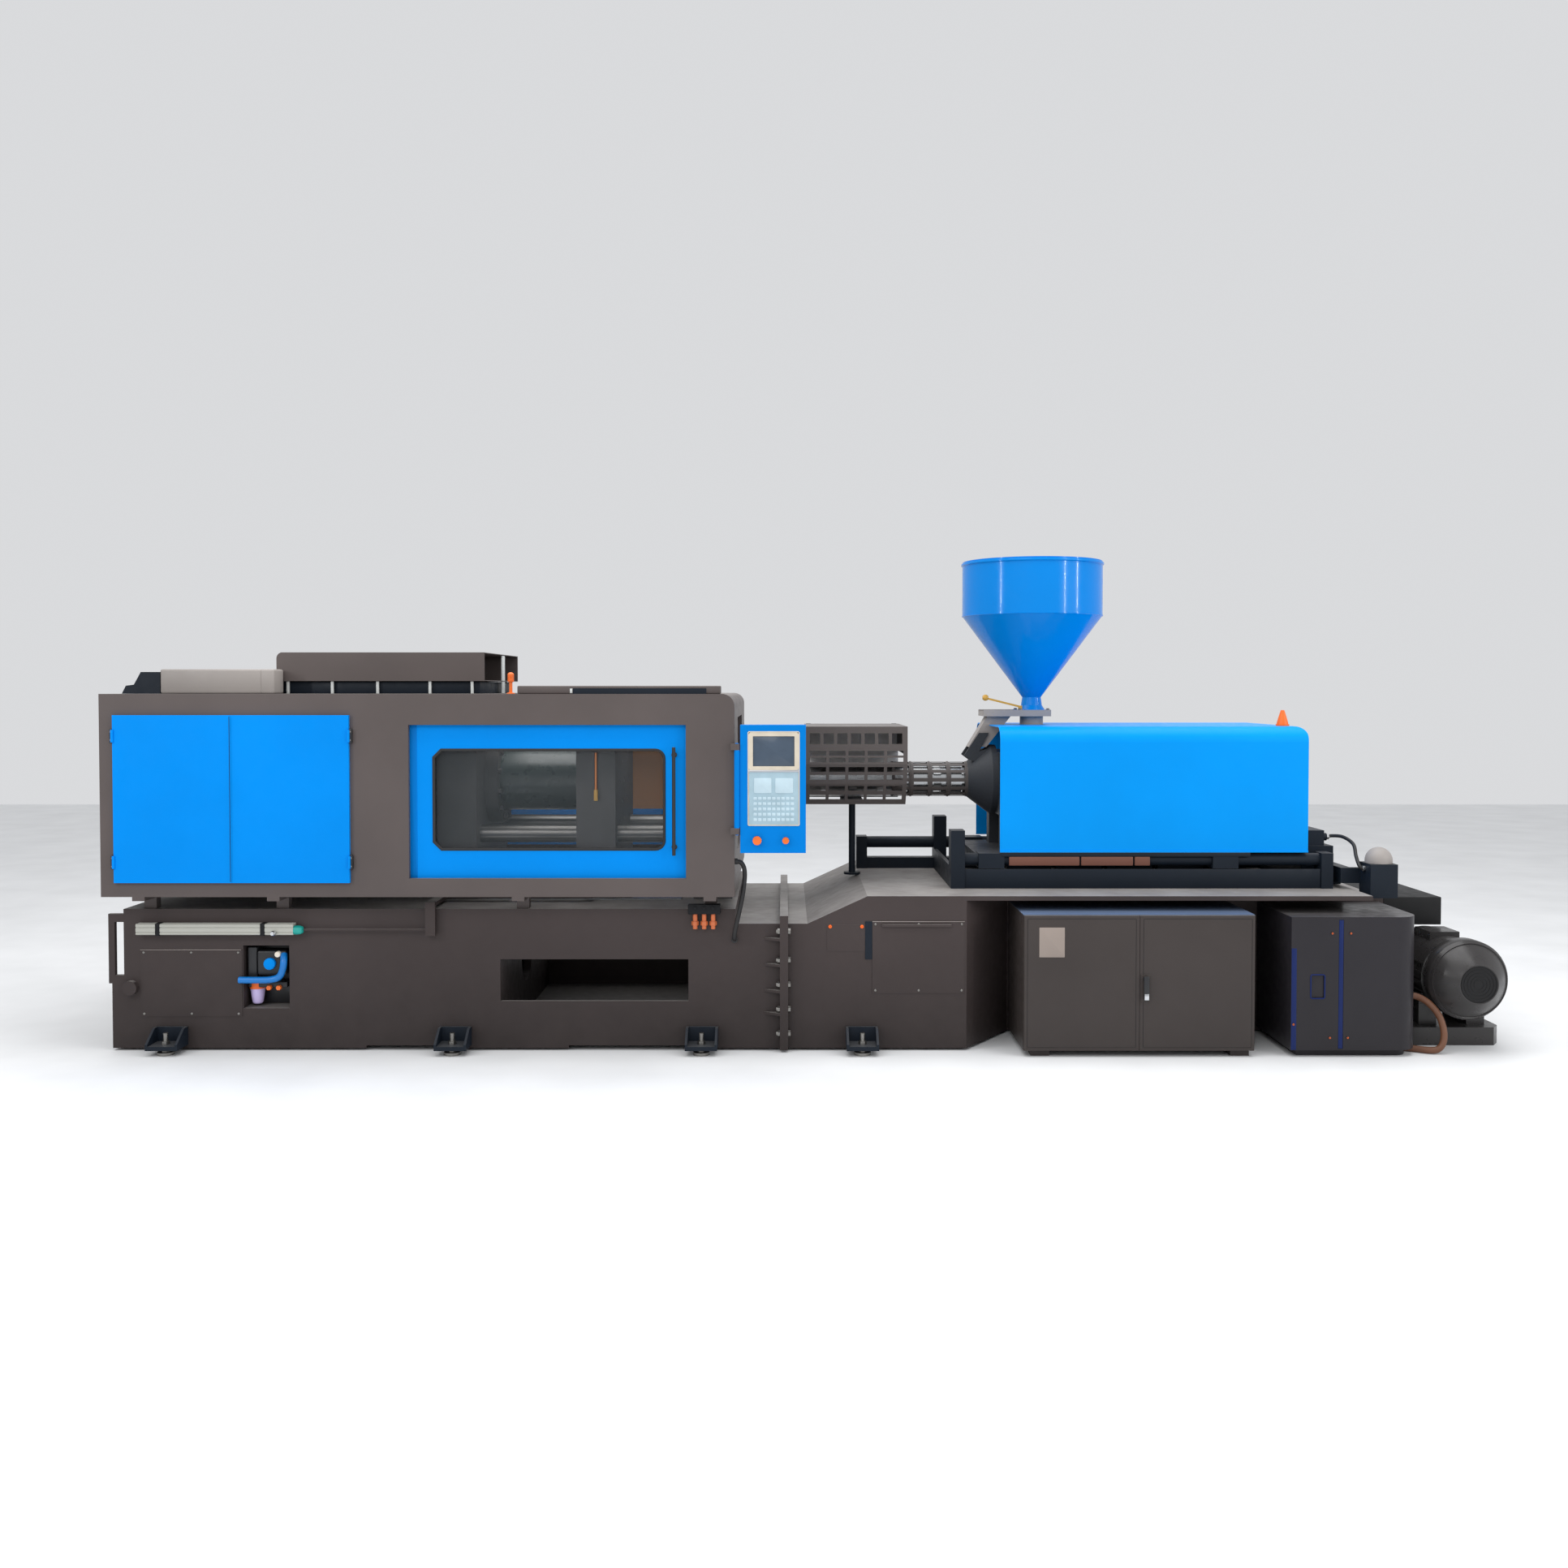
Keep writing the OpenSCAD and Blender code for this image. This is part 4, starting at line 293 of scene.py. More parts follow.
EVEN_LINES = (20.0, 20.0, 20.0)
FINISH = {
    # Paint. Faces that look up get pale dust with a painted top sheen.
    # The bed, cabinet and service paints also get painted shade towards the floor
    "bed": painted("bed_grey_paint", linear(66, 58, 57), 0.5, dust_and_sheen=0.6, gloss=0.2, low_shade=0.5),
    "guard": painted("guard_grey_paint", linear(88, 80, 78), 0.42, dust_and_sheen=0.25, gloss=0.25),
    "casing": painted("casing_light_paint", linear(150, 144, 140), 0.45),
    "casing_pale": painted("rail_pale_paint", linear(205, 208, 206), 0.4),
    "blue": painted("door_blue_paint", linear(0, 134, 224), 0.36, mottle=0.05, gloss=0.06),
    "blue_shade": painted("door_edge_blue", linear(0, 116, 200), 0.38, mottle=0.05, gloss=0.06),
    "cover_blue": painted("cover_blue_paint", linear(0, 146, 232), 0.34, mottle=0.05, gloss=0.08),
    "hopper_blue": painted("hopper_gloss_blue", linear(0, 126, 210), 0.16, 0.02, 0.04, 0.12, gloss=0.12),
    "panel_blue": painted("panel_blue_paint", linear(0, 122, 208), 0.36, mottle=0.05, gloss=0.06),
    "dark": painted("dark_navy_paint", linear(22, 30, 40), 0.48, gloss=0.2, dust_and_sheen=0.12),
    "black": painted("black_paint", linear(22, 23, 26), 0.45, gloss=0.2),
    "motor": painted("motor_grey_paint", linear(48, 46, 46), 0.3, gloss=0.4),
    "cabinet": painted("cabinet_paint", linear(64, 58, 56), 0.38, dust_and_sheen=0.35, gloss=0.22, low_shade=0.2),
    "cabinet_top": painted("cabinet_top_paint", linear(84, 98, 122), 0.4, gloss=0.25),
    "service": painted("service_paint", linear(42, 40, 44), 0.34, dust_and_sheen=0.1, gloss=0.22, low_shade=0.2),
    "lattice": painted("lattice_sheet_paint", linear(84, 78, 76), 0.45, gloss=0.25, dust_and_sheen=0.2),
    "end_black": painted("cowl_end_black", linear(30, 30, 31), 0.5, gloss=0.2),
    "liner": painted("pale_liner", linear(232, 230, 228), 0.5, gloss=0.2),
    "navy": painted("navy_seal", linear(24, 38, 86), 0.4, gloss=0.15),
    "beige": painted("beige_plate", linear(150, 138, 130), 0.45, gloss=0.2),
    "brown": painted("red_brown_paint", linear(112, 74, 62), 0.5, gloss=0.2),
    "sensor_white": painted("sensor_pale_coat", linear(176, 176, 168), 0.35),
    "ram": painted("ram_dark_chrome", linear(58, 68, 67), 0.3, mottle=0.04, peel=0.01, gloss=0.6),
    # Panes
    "pane": window_pane("clear_pane", linear(120, 128, 132)),
    "bronze_pane": painted("bronze_pane", linear(204, 146, 100), 0.35, mottle=0.08, peel=0.0, gloss=0.2),
    # Metal
    "steel": machined("machined_steel", linear(176, 178, 180)),
    "chrome": machined("chromed_bar", linear(205, 207, 210), 0.14),
    "tie_bar": machined("tie_bar_steel", linear(118, 116, 114), 0.34),
    "aluminium": machined("anodised_aluminium", linear(190, 192, 196), 0.35),
    "worn_edge": machined("worn_bright_edge", linear(150, 142, 138), 0.35),
    "bolt": machined("zinc_bolt", linear(140, 138, 134), 0.4, EVEN_LINES),
    "copper": machined("copper_pipe", linear(214, 132, 76), 0.35, EVEN_LINES),
    "casting": cast("grey_casting", linear(70, 68, 68)),
    "dark_casting": cast("dark_casting", linear(40, 44, 50)),
    # Plastic and rubber
    "orange": moulded("orange_plastic", linear(232, 110, 36), 0.34),
    "orange_bright": moulded("bright_orange", linear(238, 104, 26), 0.4),
    "orange_dull": moulded("dull_orange", linear(196, 104, 60), 0.45),
    "yellow": moulded("yellow_plastic", linear(196, 150, 60), 0.4),
    "teal": moulded("teal_cap", linear(24, 158, 148), 0.35),
    "ivory": moulded("ivory_knob", linear(232, 222, 206), 0.35),
    "lilac": moulded("milky_bowl", linear(196, 182, 226), 0.25),
    "plastic": moulded("black_plastic", linear(30, 31, 34), 0.4),
    "screen": moulded("dark_display", linear(66, 80, 96), 0.12, 0.0),
    "keys": moulded("key_field", linear(158, 184, 196), 0.45),
    "key_light": moulded("light_key", linear(186, 208, 218), 0.45),
    "cream": moulded("cream_bezel", linear(206, 196, 178), 0.4),
    "rubber": moulded("black_rubber", linear(26, 25, 26), 0.55, 0.2),
    "hose_brown": moulded("brown_rubber", linear(104, 66, 44), 0.5, 0.2),
    "hose_blue": moulded("blue_hose", linear(4, 112, 190), 0.35, 0.05),
}

NODE_FINISH = {
    "bed": ["clamp_bed", "injection_bed", "bed_covers", "transducer_rod"],
    "guard": ["guard_frame", "high_casing"],
    "casing": ["low_casing", "hopper_slide"],
    "blue": ["front_door", "cover_door_left", "cover_door_right", "rear_door"],
    "cover_blue": ["injection_cover"],
    "hopper_blue": ["hopper", "hopper_lid"],
    "panel_blue": ["panel_case"],
    "dark": ["carriage_rails", "carriage_base", "guard_stand", "door_rails", "valve_block", "oil_filter",
             "foot_brackets"],
    "lattice": ["purge_guard", "barrel_cover"],
    "black": ["lubricator", "oil_manifold", "injection_cylinders", "thrust_plate", "clamp_cylinder",
              "tie_bar_nuts"],
    "motor": ["pump_motor", "fan_cowl"],
    "cabinet": ["cabinet_shell", "cabinet_door_left", "cabinet_door_right"],
    "service": ["service_cabinet"],
    "steel": ["slideways", "ejector_plate", "barrel", "screw", "heater_bands"],
    "chrome": ["cabinet_handle"],
    "tie_bar": ["tie_bars"],
    "ram": ["clamp_ram"],
    "aluminium": ["transducer_body"],
    "bolt": ["frame_bolts"],
    "casting": ["fixed_platen", "cylinder_platen", "moving_platen"],
    "dark_casting": ["feed_housing"],
    "orange": ["warning_lamp", "stop_button", "start_button"],
    "yellow": ["slide_lever"],
    "rubber": ["hoses", "rear_hose"],
    "screen": ["panel_screen"],
    "pane": ["front_window"],
    "bronze_pane": ["rear_window"],
}


def dress_nodes():
    for finish, names in NODE_FINISH.items():
        for name in names:
            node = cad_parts[name]
            node.data.materials.clear()
            node.data.materials.append(FINISH[finish])


dress_nodes()


def lay_floor():
    """A wide pale floor just under the feet."""
    half = 14.0
    corners = [(-half, -half, 0.0), (half, -half, 0.0), (half, half, 0.0), (-half, half, 0.0)]
    mesh = bpy.data.meshes.new("floor")
    mesh.from_pydata(corners, [], [(0, 1, 2, 3)])
    floor = bpy.data.objects.new("floor", mesh)
    bpy.context.collection.objects.link(floor)
    material, tree, shader = new_finish("pale_floor")
    tone = ramp_between(tree, object_noise(tree, 2.0, 3.0), linear(226, 227, 228), linear(234, 235, 236))
    tree.links.new(tone, shader.inputs["Base Color"])
    shader.inputs["Roughness"].default_value = 0.7
    mesh.materials.append(material)


lay_floor()

# Surfaces worked out on grids. All places and sizes are in metres, in the model's frame.
RIGHT = (1, 0, 0)
LEFT = (-1, 0, 0)
BACK = (0, 1, 0)
FRONT = (0, -1, 0)
UP = (0, 0, 1)
ORIGIN = (0.0, 0.0, 0.0)


def quads(rows, columns, close_rows):
    """Quads of a grid of points: each joins (i, j), (i+1, j), (i+1, j+1), (i, j+1), and j wraps round."""
    i = np.arange(rows if close_rows else rows - 1)
    i, j = np.meshgrid(i, np.arange(columns), indexing="ij")
    i_next = (i + 1) % rows
    j_next = (j + 1) % columns
    corners = [i * columns + j, i_next * columns + j, i_next * columns + j_next, i * columns + j_next]
    return np.stack(corners, axis=-1).reshape(-1, 4)


def finish_piece(name, points, faces, finish, body, replaces=(), slot=None):
    """Puts arrays into a mesh, merges doubles, turns faces outwards, dresses it and lets it ride."""
    mesh = bpy.data.meshes.new(name)
    corners = np.asarray(points, float).reshape(-1, 3).tolist()
    mesh.from_pydata(corners, [], [list(map(int, face)) for face in faces])
    work = bmesh.new()
    work.from_mesh(mesh)
    bmesh.ops.remove_doubles(work, verts=work.verts, dist=1e-6)
    bmesh.ops.dissolve_degenerate(work, edges=work.edges, dist=1e-7)
    bmesh.ops.recalc_face_normals(work, faces=work.faces)
    work.to_mesh(mesh)
    work.free()
    mesh.shade_smooth()
    mesh.set_sharp_from_angle(angle=math.radians(32.0))
    mesh.materials.append(FINISH[finish])
    piece = bpy.data.objects.new(name, mesh)
    bpy.context.collection.objects.link(piece)
    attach(piece, body)
    if replaces:
        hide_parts(*replaces)
    return piece


def loft(rings, close_rows=False):
    """Skin over closed rings of equal point counts. The ends get a face each, or the rows join in a loop."""
    rings = np.asarray(rings, float)
    rows, columns = rings.shape[:2]
    faces = [tuple(q) for q in quads(rows, columns, close_rows)]
    if not close_rows:
        faces.append(tuple(range(columns)))
        faces.append(tuple(range((rows - 1) * columns, rows * columns)))
    return rings.reshape(-1, 3), faces


def add_plate(name, low, high, radius, finish, body):
    """Piece of one rounded box, for thin strips, sheets and bars."""
    finish_piece(name, *rounded_box(low, high, radius, 2), finish, body)


def axes_for(axis):
    """Two directions square to the axis: (axis, across, up)."""
    axis = np.array(axis, float) / np.linalg.norm(axis)
    guide = np.array([0.0, 0.0, 1.0]) if abs(axis[2]) < 0.9 else np.array([0.0, 1.0, 0.0])
    across = np.cross(guide, axis)
    across /= np.linalg.norm(across)
    return axis, across, np.cross(axis, across)


def turned(profile, centre, axis, sides=48, hollow=False):
    """Surface of revolution: centre + h * axis + r * (cos t * across + sin t * up) for each (r, h)."""
    profile = np.asarray(profile, float)
    axis, across, up = axes_for(axis)
    t = np.linspace(0.0, 2.0 * np.pi, sides, endpoint=False)
    circle = np.cos(t)[:, None] * across + np.sin(t)[:, None] * up
    rings = np.array(centre) + profile[:, 1, None, None] * axis + profile[:, 0, None, None] * circle
    return loft(rings, close_rows=hollow)


def ring_turned(profile, centre, axis, sides=48):
    """Closed section turned round the axis, such as a washer or a rim."""
    return turned(profile, centre, axis, sides, hollow=True)


def disc_turned(radius, low, high, centre, axis, sides=48):
    """Plain round disc between two heights on the axis."""
    return turned([(0.0, low), (radius, low), (radius, high), (0.0, high)], centre, axis, sides)


def rounded_box(low, high, radius, steps=3):
    """Box with rounded edges: each point is a corner of the inner box plus radius times a unit direction."""
    low = np.array(low, float)
    high = np.array(high, float)
    radius = min(radius, 0.499 * float(np.min(high - low)))
    quarter = np.linspace(0.0, np.pi / 2, steps + 1)
    around = np.concatenate([quarter + k * np.pi / 2 for k in range(4)])
    rise = np.concatenate([quarter - np.pi / 2, quarter])
    direction = np.stack(np.broadcast_arrays(np.cos(rise)[:, None] * np.cos(around),
                                             np.cos(rise)[:, None] * np.sin(around),
                                             np.sin(rise)[:, None]), axis=-1)
    side_x = np.repeat([1, -1, -1, 1], steps + 1)
    side_y = np.repeat([1, 1, -1, -1], steps + 1)
    side_z = np.repeat([-1, 1], steps + 1)
    sides = np.stack(np.broadcast_arrays(side_x, side_y, side_z[:, None]), axis=-1)
    core = np.where(sides > 0, high - radius, low + radius)
    return loft(core + radius * direction)


def rounded_outline(x, z, grow, radius):
    """Rectangle between two x and two z, grown on all sides, with quarter circles at its corners."""
    steps = 4
    quarter = np.linspace(0.0, np.pi / 2, steps + 1)
    angle = np.concatenate([quarter + k * np.pi / 2 for k in range(4)])
    side_x = np.repeat([1, -1, -1, 1], steps + 1)
    side_z = np.repeat([1, 1, -1, -1], steps + 1)
    a = side_x * ((x[1] - x[0]) / 2 + grow - radius) + radius * np.cos(angle)
    b = side_z * ((z[1] - z[0]) / 2 + grow - radius) + radius * np.sin(angle)
    return np.stack([a + (x[0] + x[1]) / 2, b + (z[0] + z[1]) / 2], axis=-1)


def upright(outline, y):
    """Points (x, z) of an outline set upright in the plane y."""
    outline = np.asarray(outline, float)
    return np.stack([outline[:, 0], np.full(len(outline), y), outline[:, 1]], axis=-1)


def front_panel(x, z, y_front, y_back, radius):
    """Upright plate with round corners, its outline drawn in towards the front to soften that edge."""
    bevel = 0.0015
    section = [(y_front, bevel), (y_front + 0.3 * bevel, 0.3 * bevel), (y_front + bevel, 0.0), (y_back, 0.0)]
    return loft([upright(rounded_outline(x, z, -inset, max(radius - inset, 0.0004)), y)
                 for y, inset in section])


def frame_ring(x, z, width, y_front, y_back, radius):
    """Flat frame round an opening: a closed section carried round a rounded rectangle."""
    section = [(y_back, width), (y_front + 0.001, width), (y_front, width - 0.001),
               (y_front, 0.001), (y_front + 0.001, 0.0), (y_back, 0.0)]
    rings = [upright(rounded_outline(x, z, grow, radius + grow), y) for y, grow in section]
    return loft(rings, close_rows=True)


def smooth_path(points, steps=8):
    """Catmull-Rom curve through the points: p = 0.5 (2b + (c-a)t + (2a-5b+4c-d)t^2 + (3b-a-3c+d)t^3)."""
    p = np.asarray(points, float)
    padded = np.concatenate([p[:1], p, p[-1:]])
    a, b, c, d = (v[:, None, :] for v in (padded[:-3], padded[1:-2], padded[2:-1], padded[3:]))
    t = np.linspace(0.0, 1.0, steps, endpoint=False)[None, :, None]
    curve = 2 * b + (c - a) * t + (2 * a - 5 * b + 4 * c - d) * t ** 2 + (3 * b - a - 3 * c + d) * t ** 3
    return np.concatenate([0.5 * curve.reshape(-1, 3), p[-1:]])


def tube(path, radius, sides=14):
    """Round section carried along a path, its frame turned from ring to ring by the least rotation."""
    path = np.asarray(path, float)
    tangent = np.gradient(path, axis=0)
    tangent /= np.linalg.norm(tangent, axis=1)[:, None]
    frames = [axes_for(tangent[0])[1]]
    for direction in tangent[1:]:
        side = frames[-1] - np.dot(frames[-1], direction) * direction
        frames.append(side / np.linalg.norm(side))
    across = np.array(frames)
    up = np.cross(tangent, across)
    t = np.linspace(0.0, 2.0 * np.pi, sides, endpoint=False)[None, :, None]
    return loft(path[:, None, :] + radius * (np.cos(t) * across[:, None, :] + np.sin(t) * up[:, None, :]))


def gathered(parts):
    """Several (points, faces) as one."""
    points, faces, shift = [], [], 0
    for part_points, part_faces in parts:
        points.append(np.asarray(part_points, float).reshape(-1, 3))
        faces += [tuple(int(i) + shift for i in face) for face in part_faces]
        shift += len(points[-1])
    return np.concatenate(points), faces


def repeated(part, offsets):
    """The same shape at each offset."""
    points, faces = part
    return gathered([(points + np.array(offset), faces) for offset in offsets])


def screw_head(radius, height):
    """Low domed screw head with a socket, on the origin, looking to the front."""
    profile = [(0.0, height * 0.55), (radius * 0.45, height * 0.55), (radius * 0.5, height),
               (radius * 0.8, height * 0.92), (radius, height * 0.45), (radius, -0.001), (0.0, -0.001)]
    return turned(profile, ORIGIN, FRONT, 16)


def hex_head(axis, radius, height):
    """Hexagon bolt head with a washer under it, on the origin, standing along the axis."""
    profile = [(0.0, height), (radius * 0.82, height), (radius, height * 0.85), (radius, 0.002),
               (0.0, 0.002)]
    head = turned(profile, ORIGIN, axis, 6)
    return gathered([head, disc_turned(radius * 1.25, 0.002, -0.001, ORIGIN, axis, 24)])


def collar(centre, axis, radius, length):
    """Short turned collar with softened ends, its back on the centre."""
    soft = 0.001
    profile = [(0.0, 0.0), (radius - soft, 0.0), (radius, soft), (radius, length - soft),
               (radius - soft, length), (0.0, length)]
    return turned(profile, centre, axis, 32)


# Front faces of the sheet metal, the guard's roof with a hair's gap, and the window's clear opening
GUARD_FACE_Y = -0.830
DOOR_FACE_Y = -0.801
BED_FACE_Y = -0.720
CABINET_FACE_Y = -0.850
PANEL_FACE_Y = -0.8502
ROOF_Z = span("guard_frame")[1][2] + 0.0002

PANE_LOW, PANE_HIGH = span("front_window")
WINDOW_LAP = 0.0197
WINDOW_X = (PANE_LOW[0] + WINDOW_LAP, PANE_HIGH[0] - WINDOW_LAP)
WINDOW_Z = (PANE_LOW[2] + WINDOW_LAP, PANE_HIGH[2] - WINDOW_LAP)


def window_outline(grow):
    """Window edge grown outwards: chamfers of 35 mm at the left, arcs of 40 mm at the right."""
    x0, x1 = WINDOW_X[0] - grow, WINDOW_X[1] + grow
    z0, z1 = WINDOW_Z[0] - grow, WINDOW_Z[1] + grow
    chamfer = 0.035 + grow * 0.586
    radius = 0.040 + grow
    quarter = np.linspace(0.0, np.pi / 2, 7)
    sine, cosine = radius * np.sin(quarter), radius * np.cos(quarter)
    lower = np.stack([x1 - radius + sine, z0 + radius - cosine], axis=-1)
    upper = np.stack([x1 - radius + cosine, z1 - radius + sine], axis=-1)
    left = np.array([[x0 + chamfer, z1], [x0, z1 - chamfer], [x0, z0 + chamfer], [x0 + chamfer, z0]])
    return np.concatenate([lower, upper, left])


def sliding_doors():
    """Window seals, the handle with its studs, the folded door edge, and the rollers on the rails."""
    face = DOOR_FACE_Y
    seal = [(-0.004, face + 0.016), (-0.004, face - 0.002), (-0.002, face - 0.004), (0.006, face - 0.004),
            (0.009, face - 0.002), (0.009, face + 0.0005), (0.0008, face + 0.0005), (0.0008, face + 0.016)]
    for mirror, body in ((1.0, "front_door"), (-1.0, "rear_door")):
        rings = [upright(window_outline(grow), mirror * depth) for grow, depth in seal]
        finish_piece(body + "_window_seal", *loft(rings, close_rows=True), "rubber", body)
    low, high = span("front_door")
    handle = (high[0] - 0.070, face - 0.034, 0.0)
    low_z, high_z = 0.971, 1.497
    rod = turned([(0.0, low_z - 0.0004), (0.0062, low_z - 0.0004), (0.0086, low_z + 0.003),
                  (0.0086, high_z - 0.003), (0.0062, high_z + 0.0004), (0.0, high_z + 0.0004)],
                 handle, UP, 24)
    stud = turned([(0.0, 0.0), (0.0075, 0.0), (0.0075, 0.026), (0.013, 0.029), (0.014, 0.0335),
                   (0.0, 0.0335)], handle, BACK, 24)
    studs = repeated(stud, [(0.0, 0.0, low_z + 0.040), (0.0, 0.0, high_z - 0.040)])
    finish_piece("door_handle", *gathered([rod, studs]), "plastic", "front_door")
    edge = front_panel((low[0] + 0.0002, low[0] + 0.047), (low[2] + 0.0012, high[2] - 0.0005),
                       face - 0.0012, face + 0.002, 0.001)
    finish_piece("door_folded_edge", *edge, "blue_shade", "front_door")
    roller = turned([(0.0, -0.004), (0.018, -0.004), (0.022, 0.0), (0.018, 0.004), (0.0, 0.004)],
                    ORIGIN, BACK, 24)
    for body, rail_y in (("front_door", -0.789), ("rear_door", 0.789)):
        rollers = repeated(roller, [(x, rail_y, high[2]) for x in (-1.80, -1.30, -0.75)])
        finish_piece(body + "_rollers", *rollers, "steel", body)


def cover_doors():
    """Black hinge blocks beside the blue covers, and the dark seam between the covers."""
    leaf = rounded_box((-0.007, -0.018, -0.034), (0.007, 0.0, 0.034), 0.003)
    low, high = span("cover_door_left")
    heights = (low[2] + 0.100, high[2] - 0.100)
    right_edge = span("cover_door_right")[1][0]
    for side, x in (("left", low[0] - 0.0015), ("right", right_edge + 0.0015)):
        leaves = repeated(leaf, [(x, GUARD_FACE_Y, z) for z in heights])
        finish_piece("cover_hinge_" + side, *leaves, "plastic", "base")
        places = [(x, GUARD_FACE_Y - 0.018, z + dz) for z in heights for dz in (-0.02, 0.02)]
        screws = repeated(screw_head(0.004, 0.002), places)
        finish_piece("cover_hinge_screws_" + side, *screws, "bolt", "base")
    seam = rounded_box((high[0] - 0.0028, low[1] - 0.0004, low[2] + 0.006),
                       (high[0] - 0.0004, low[1] + 0.002, high[2] - 0.006), 0.0004, 1)
    finish_piece("cover_seam", *seam, "dark", "cover_left")


def roof_details():
    """Ridge along the guard's roof with its three strips, and the ribbed lens of the warning lamp."""
    ridge = rounded_box((-1.414, -0.815, ROOF_Z), (-0.435, -0.735, 1.790), 0.006)
    finish_piece("roof_ridge", *ridge, "guard", "base")
    for name, x0, x1, finish in (("white", -1.160, -1.148, "casing_pale"), ("dark", -1.146, -0.932, "dark"),
                                 ("light", -0.926, -0.612, "casing")):
        add_plate("roof_strip_" + name, (x0, -0.8175, 1.7545), (x1, -0.8145, 1.7765), 0.001, finish, "base")
    low, high = span("warning_lamp")
    centre = ((low[0] + high[0]) / 2, (low[1] + high[1]) / 2, low[2])
    profile = [(0.0, 0.0), (0.020, 0.0), (0.020, 0.004), (0.008, 0.007), (0.008, 0.056), (0.015, 0.059)]
    for h in 0.062 + 0.005 * np.arange(6):
        profile += [(0.0150, h), (0.0162, h + 0.0012), (0.0162, h + 0.0026), (0.0150, h + 0.0038)]
    arc = np.linspace(0.0, math.pi / 2, 8)[:-1]
    profile += [(0.016 * math.cos(a), 0.093 + 0.013 * math.sin(a)) for a in arc] + [(0.0, 0.106)]
    finish_piece("warning_lamp_lens", *turned(profile, centre, UP, 32), "orange", "base", ("warning_lamp",),
                 slot="orange_plastic")


def transducer():
    """Extruded sensor body with three grooves, its teal end cap, clamps and plug."""
    low, high = span("transducer_body")
    x0, x1 = low[0], high[0] - 0.045
    y0, y1 = low[1], high[1]
    z0, z1 = low[2], high[2]
    mid_y = (y0 + y1) / 2
    groove = 0.003
    section = np.array([
        (y1, z0), (y1, z1), (mid_y + 0.006, z1), (mid_y + 0.005, z1 - groove), (mid_y - 0.005, z1 - groove),
        (mid_y - 0.006, z1), (y0 + 0.004, z1), (y0, z1 - 0.004), (y0, z1 - 0.014), (y0 + groove, z1 - 0.015),
        (y0 + groove, z1 - 0.020), (y0, z1 - 0.021), (y0, z0 + 0.016), (y0 + groove, z0 + 0.015),
        (y0 + groove, z0 + 0.010), (y0, z0 + 0.009), (y0, z0 + 0.004), (y0 + 0.004, z0)])
    rings = [np.column_stack([np.full(len(section), x), section]) for x in (x0, x1)]
    finish_piece("transducer_profile", *loft(rings), "sensor_white", "base", ("transducer_body",),
                 slot="sensor_aluminium")
    cap = turned([(0.0055, -0.001), (0.022, -0.001), (0.022, 0.018), (0.021, 0.030), (0.017, 0.040),
                  (0.010, 0.0445), (0.0055, 0.045)], (x1, y0 + 0.022, z0 + 0.022), RIGHT, 32)
    finish_piece("transducer_cap", *cap, "teal", "base")
    clamps = [rounded_box((x, y0 - 0.003, z0 - 0.004), (x + 0.022, y1, z1 + 0.003), 0.003, 2)
              for x in (x0 + 0.095, x1 - 0.16)]
    finish_piece("transducer_clamps", *gathered(clamps), "black", "base")
    plug = turned([(0.0, 0.0), (0.011, 0.0), (0.012, 0.004), (0.012, 0.022), (0.009, 0.026), (0.009, 0.034),
                   (0.0, 0.034)], (x1 - 0.09, y0 + 0.001, z0 + 0.012), FRONT, 24)
    finish_piece("transducer_plug", *plug, "chrome", "base")


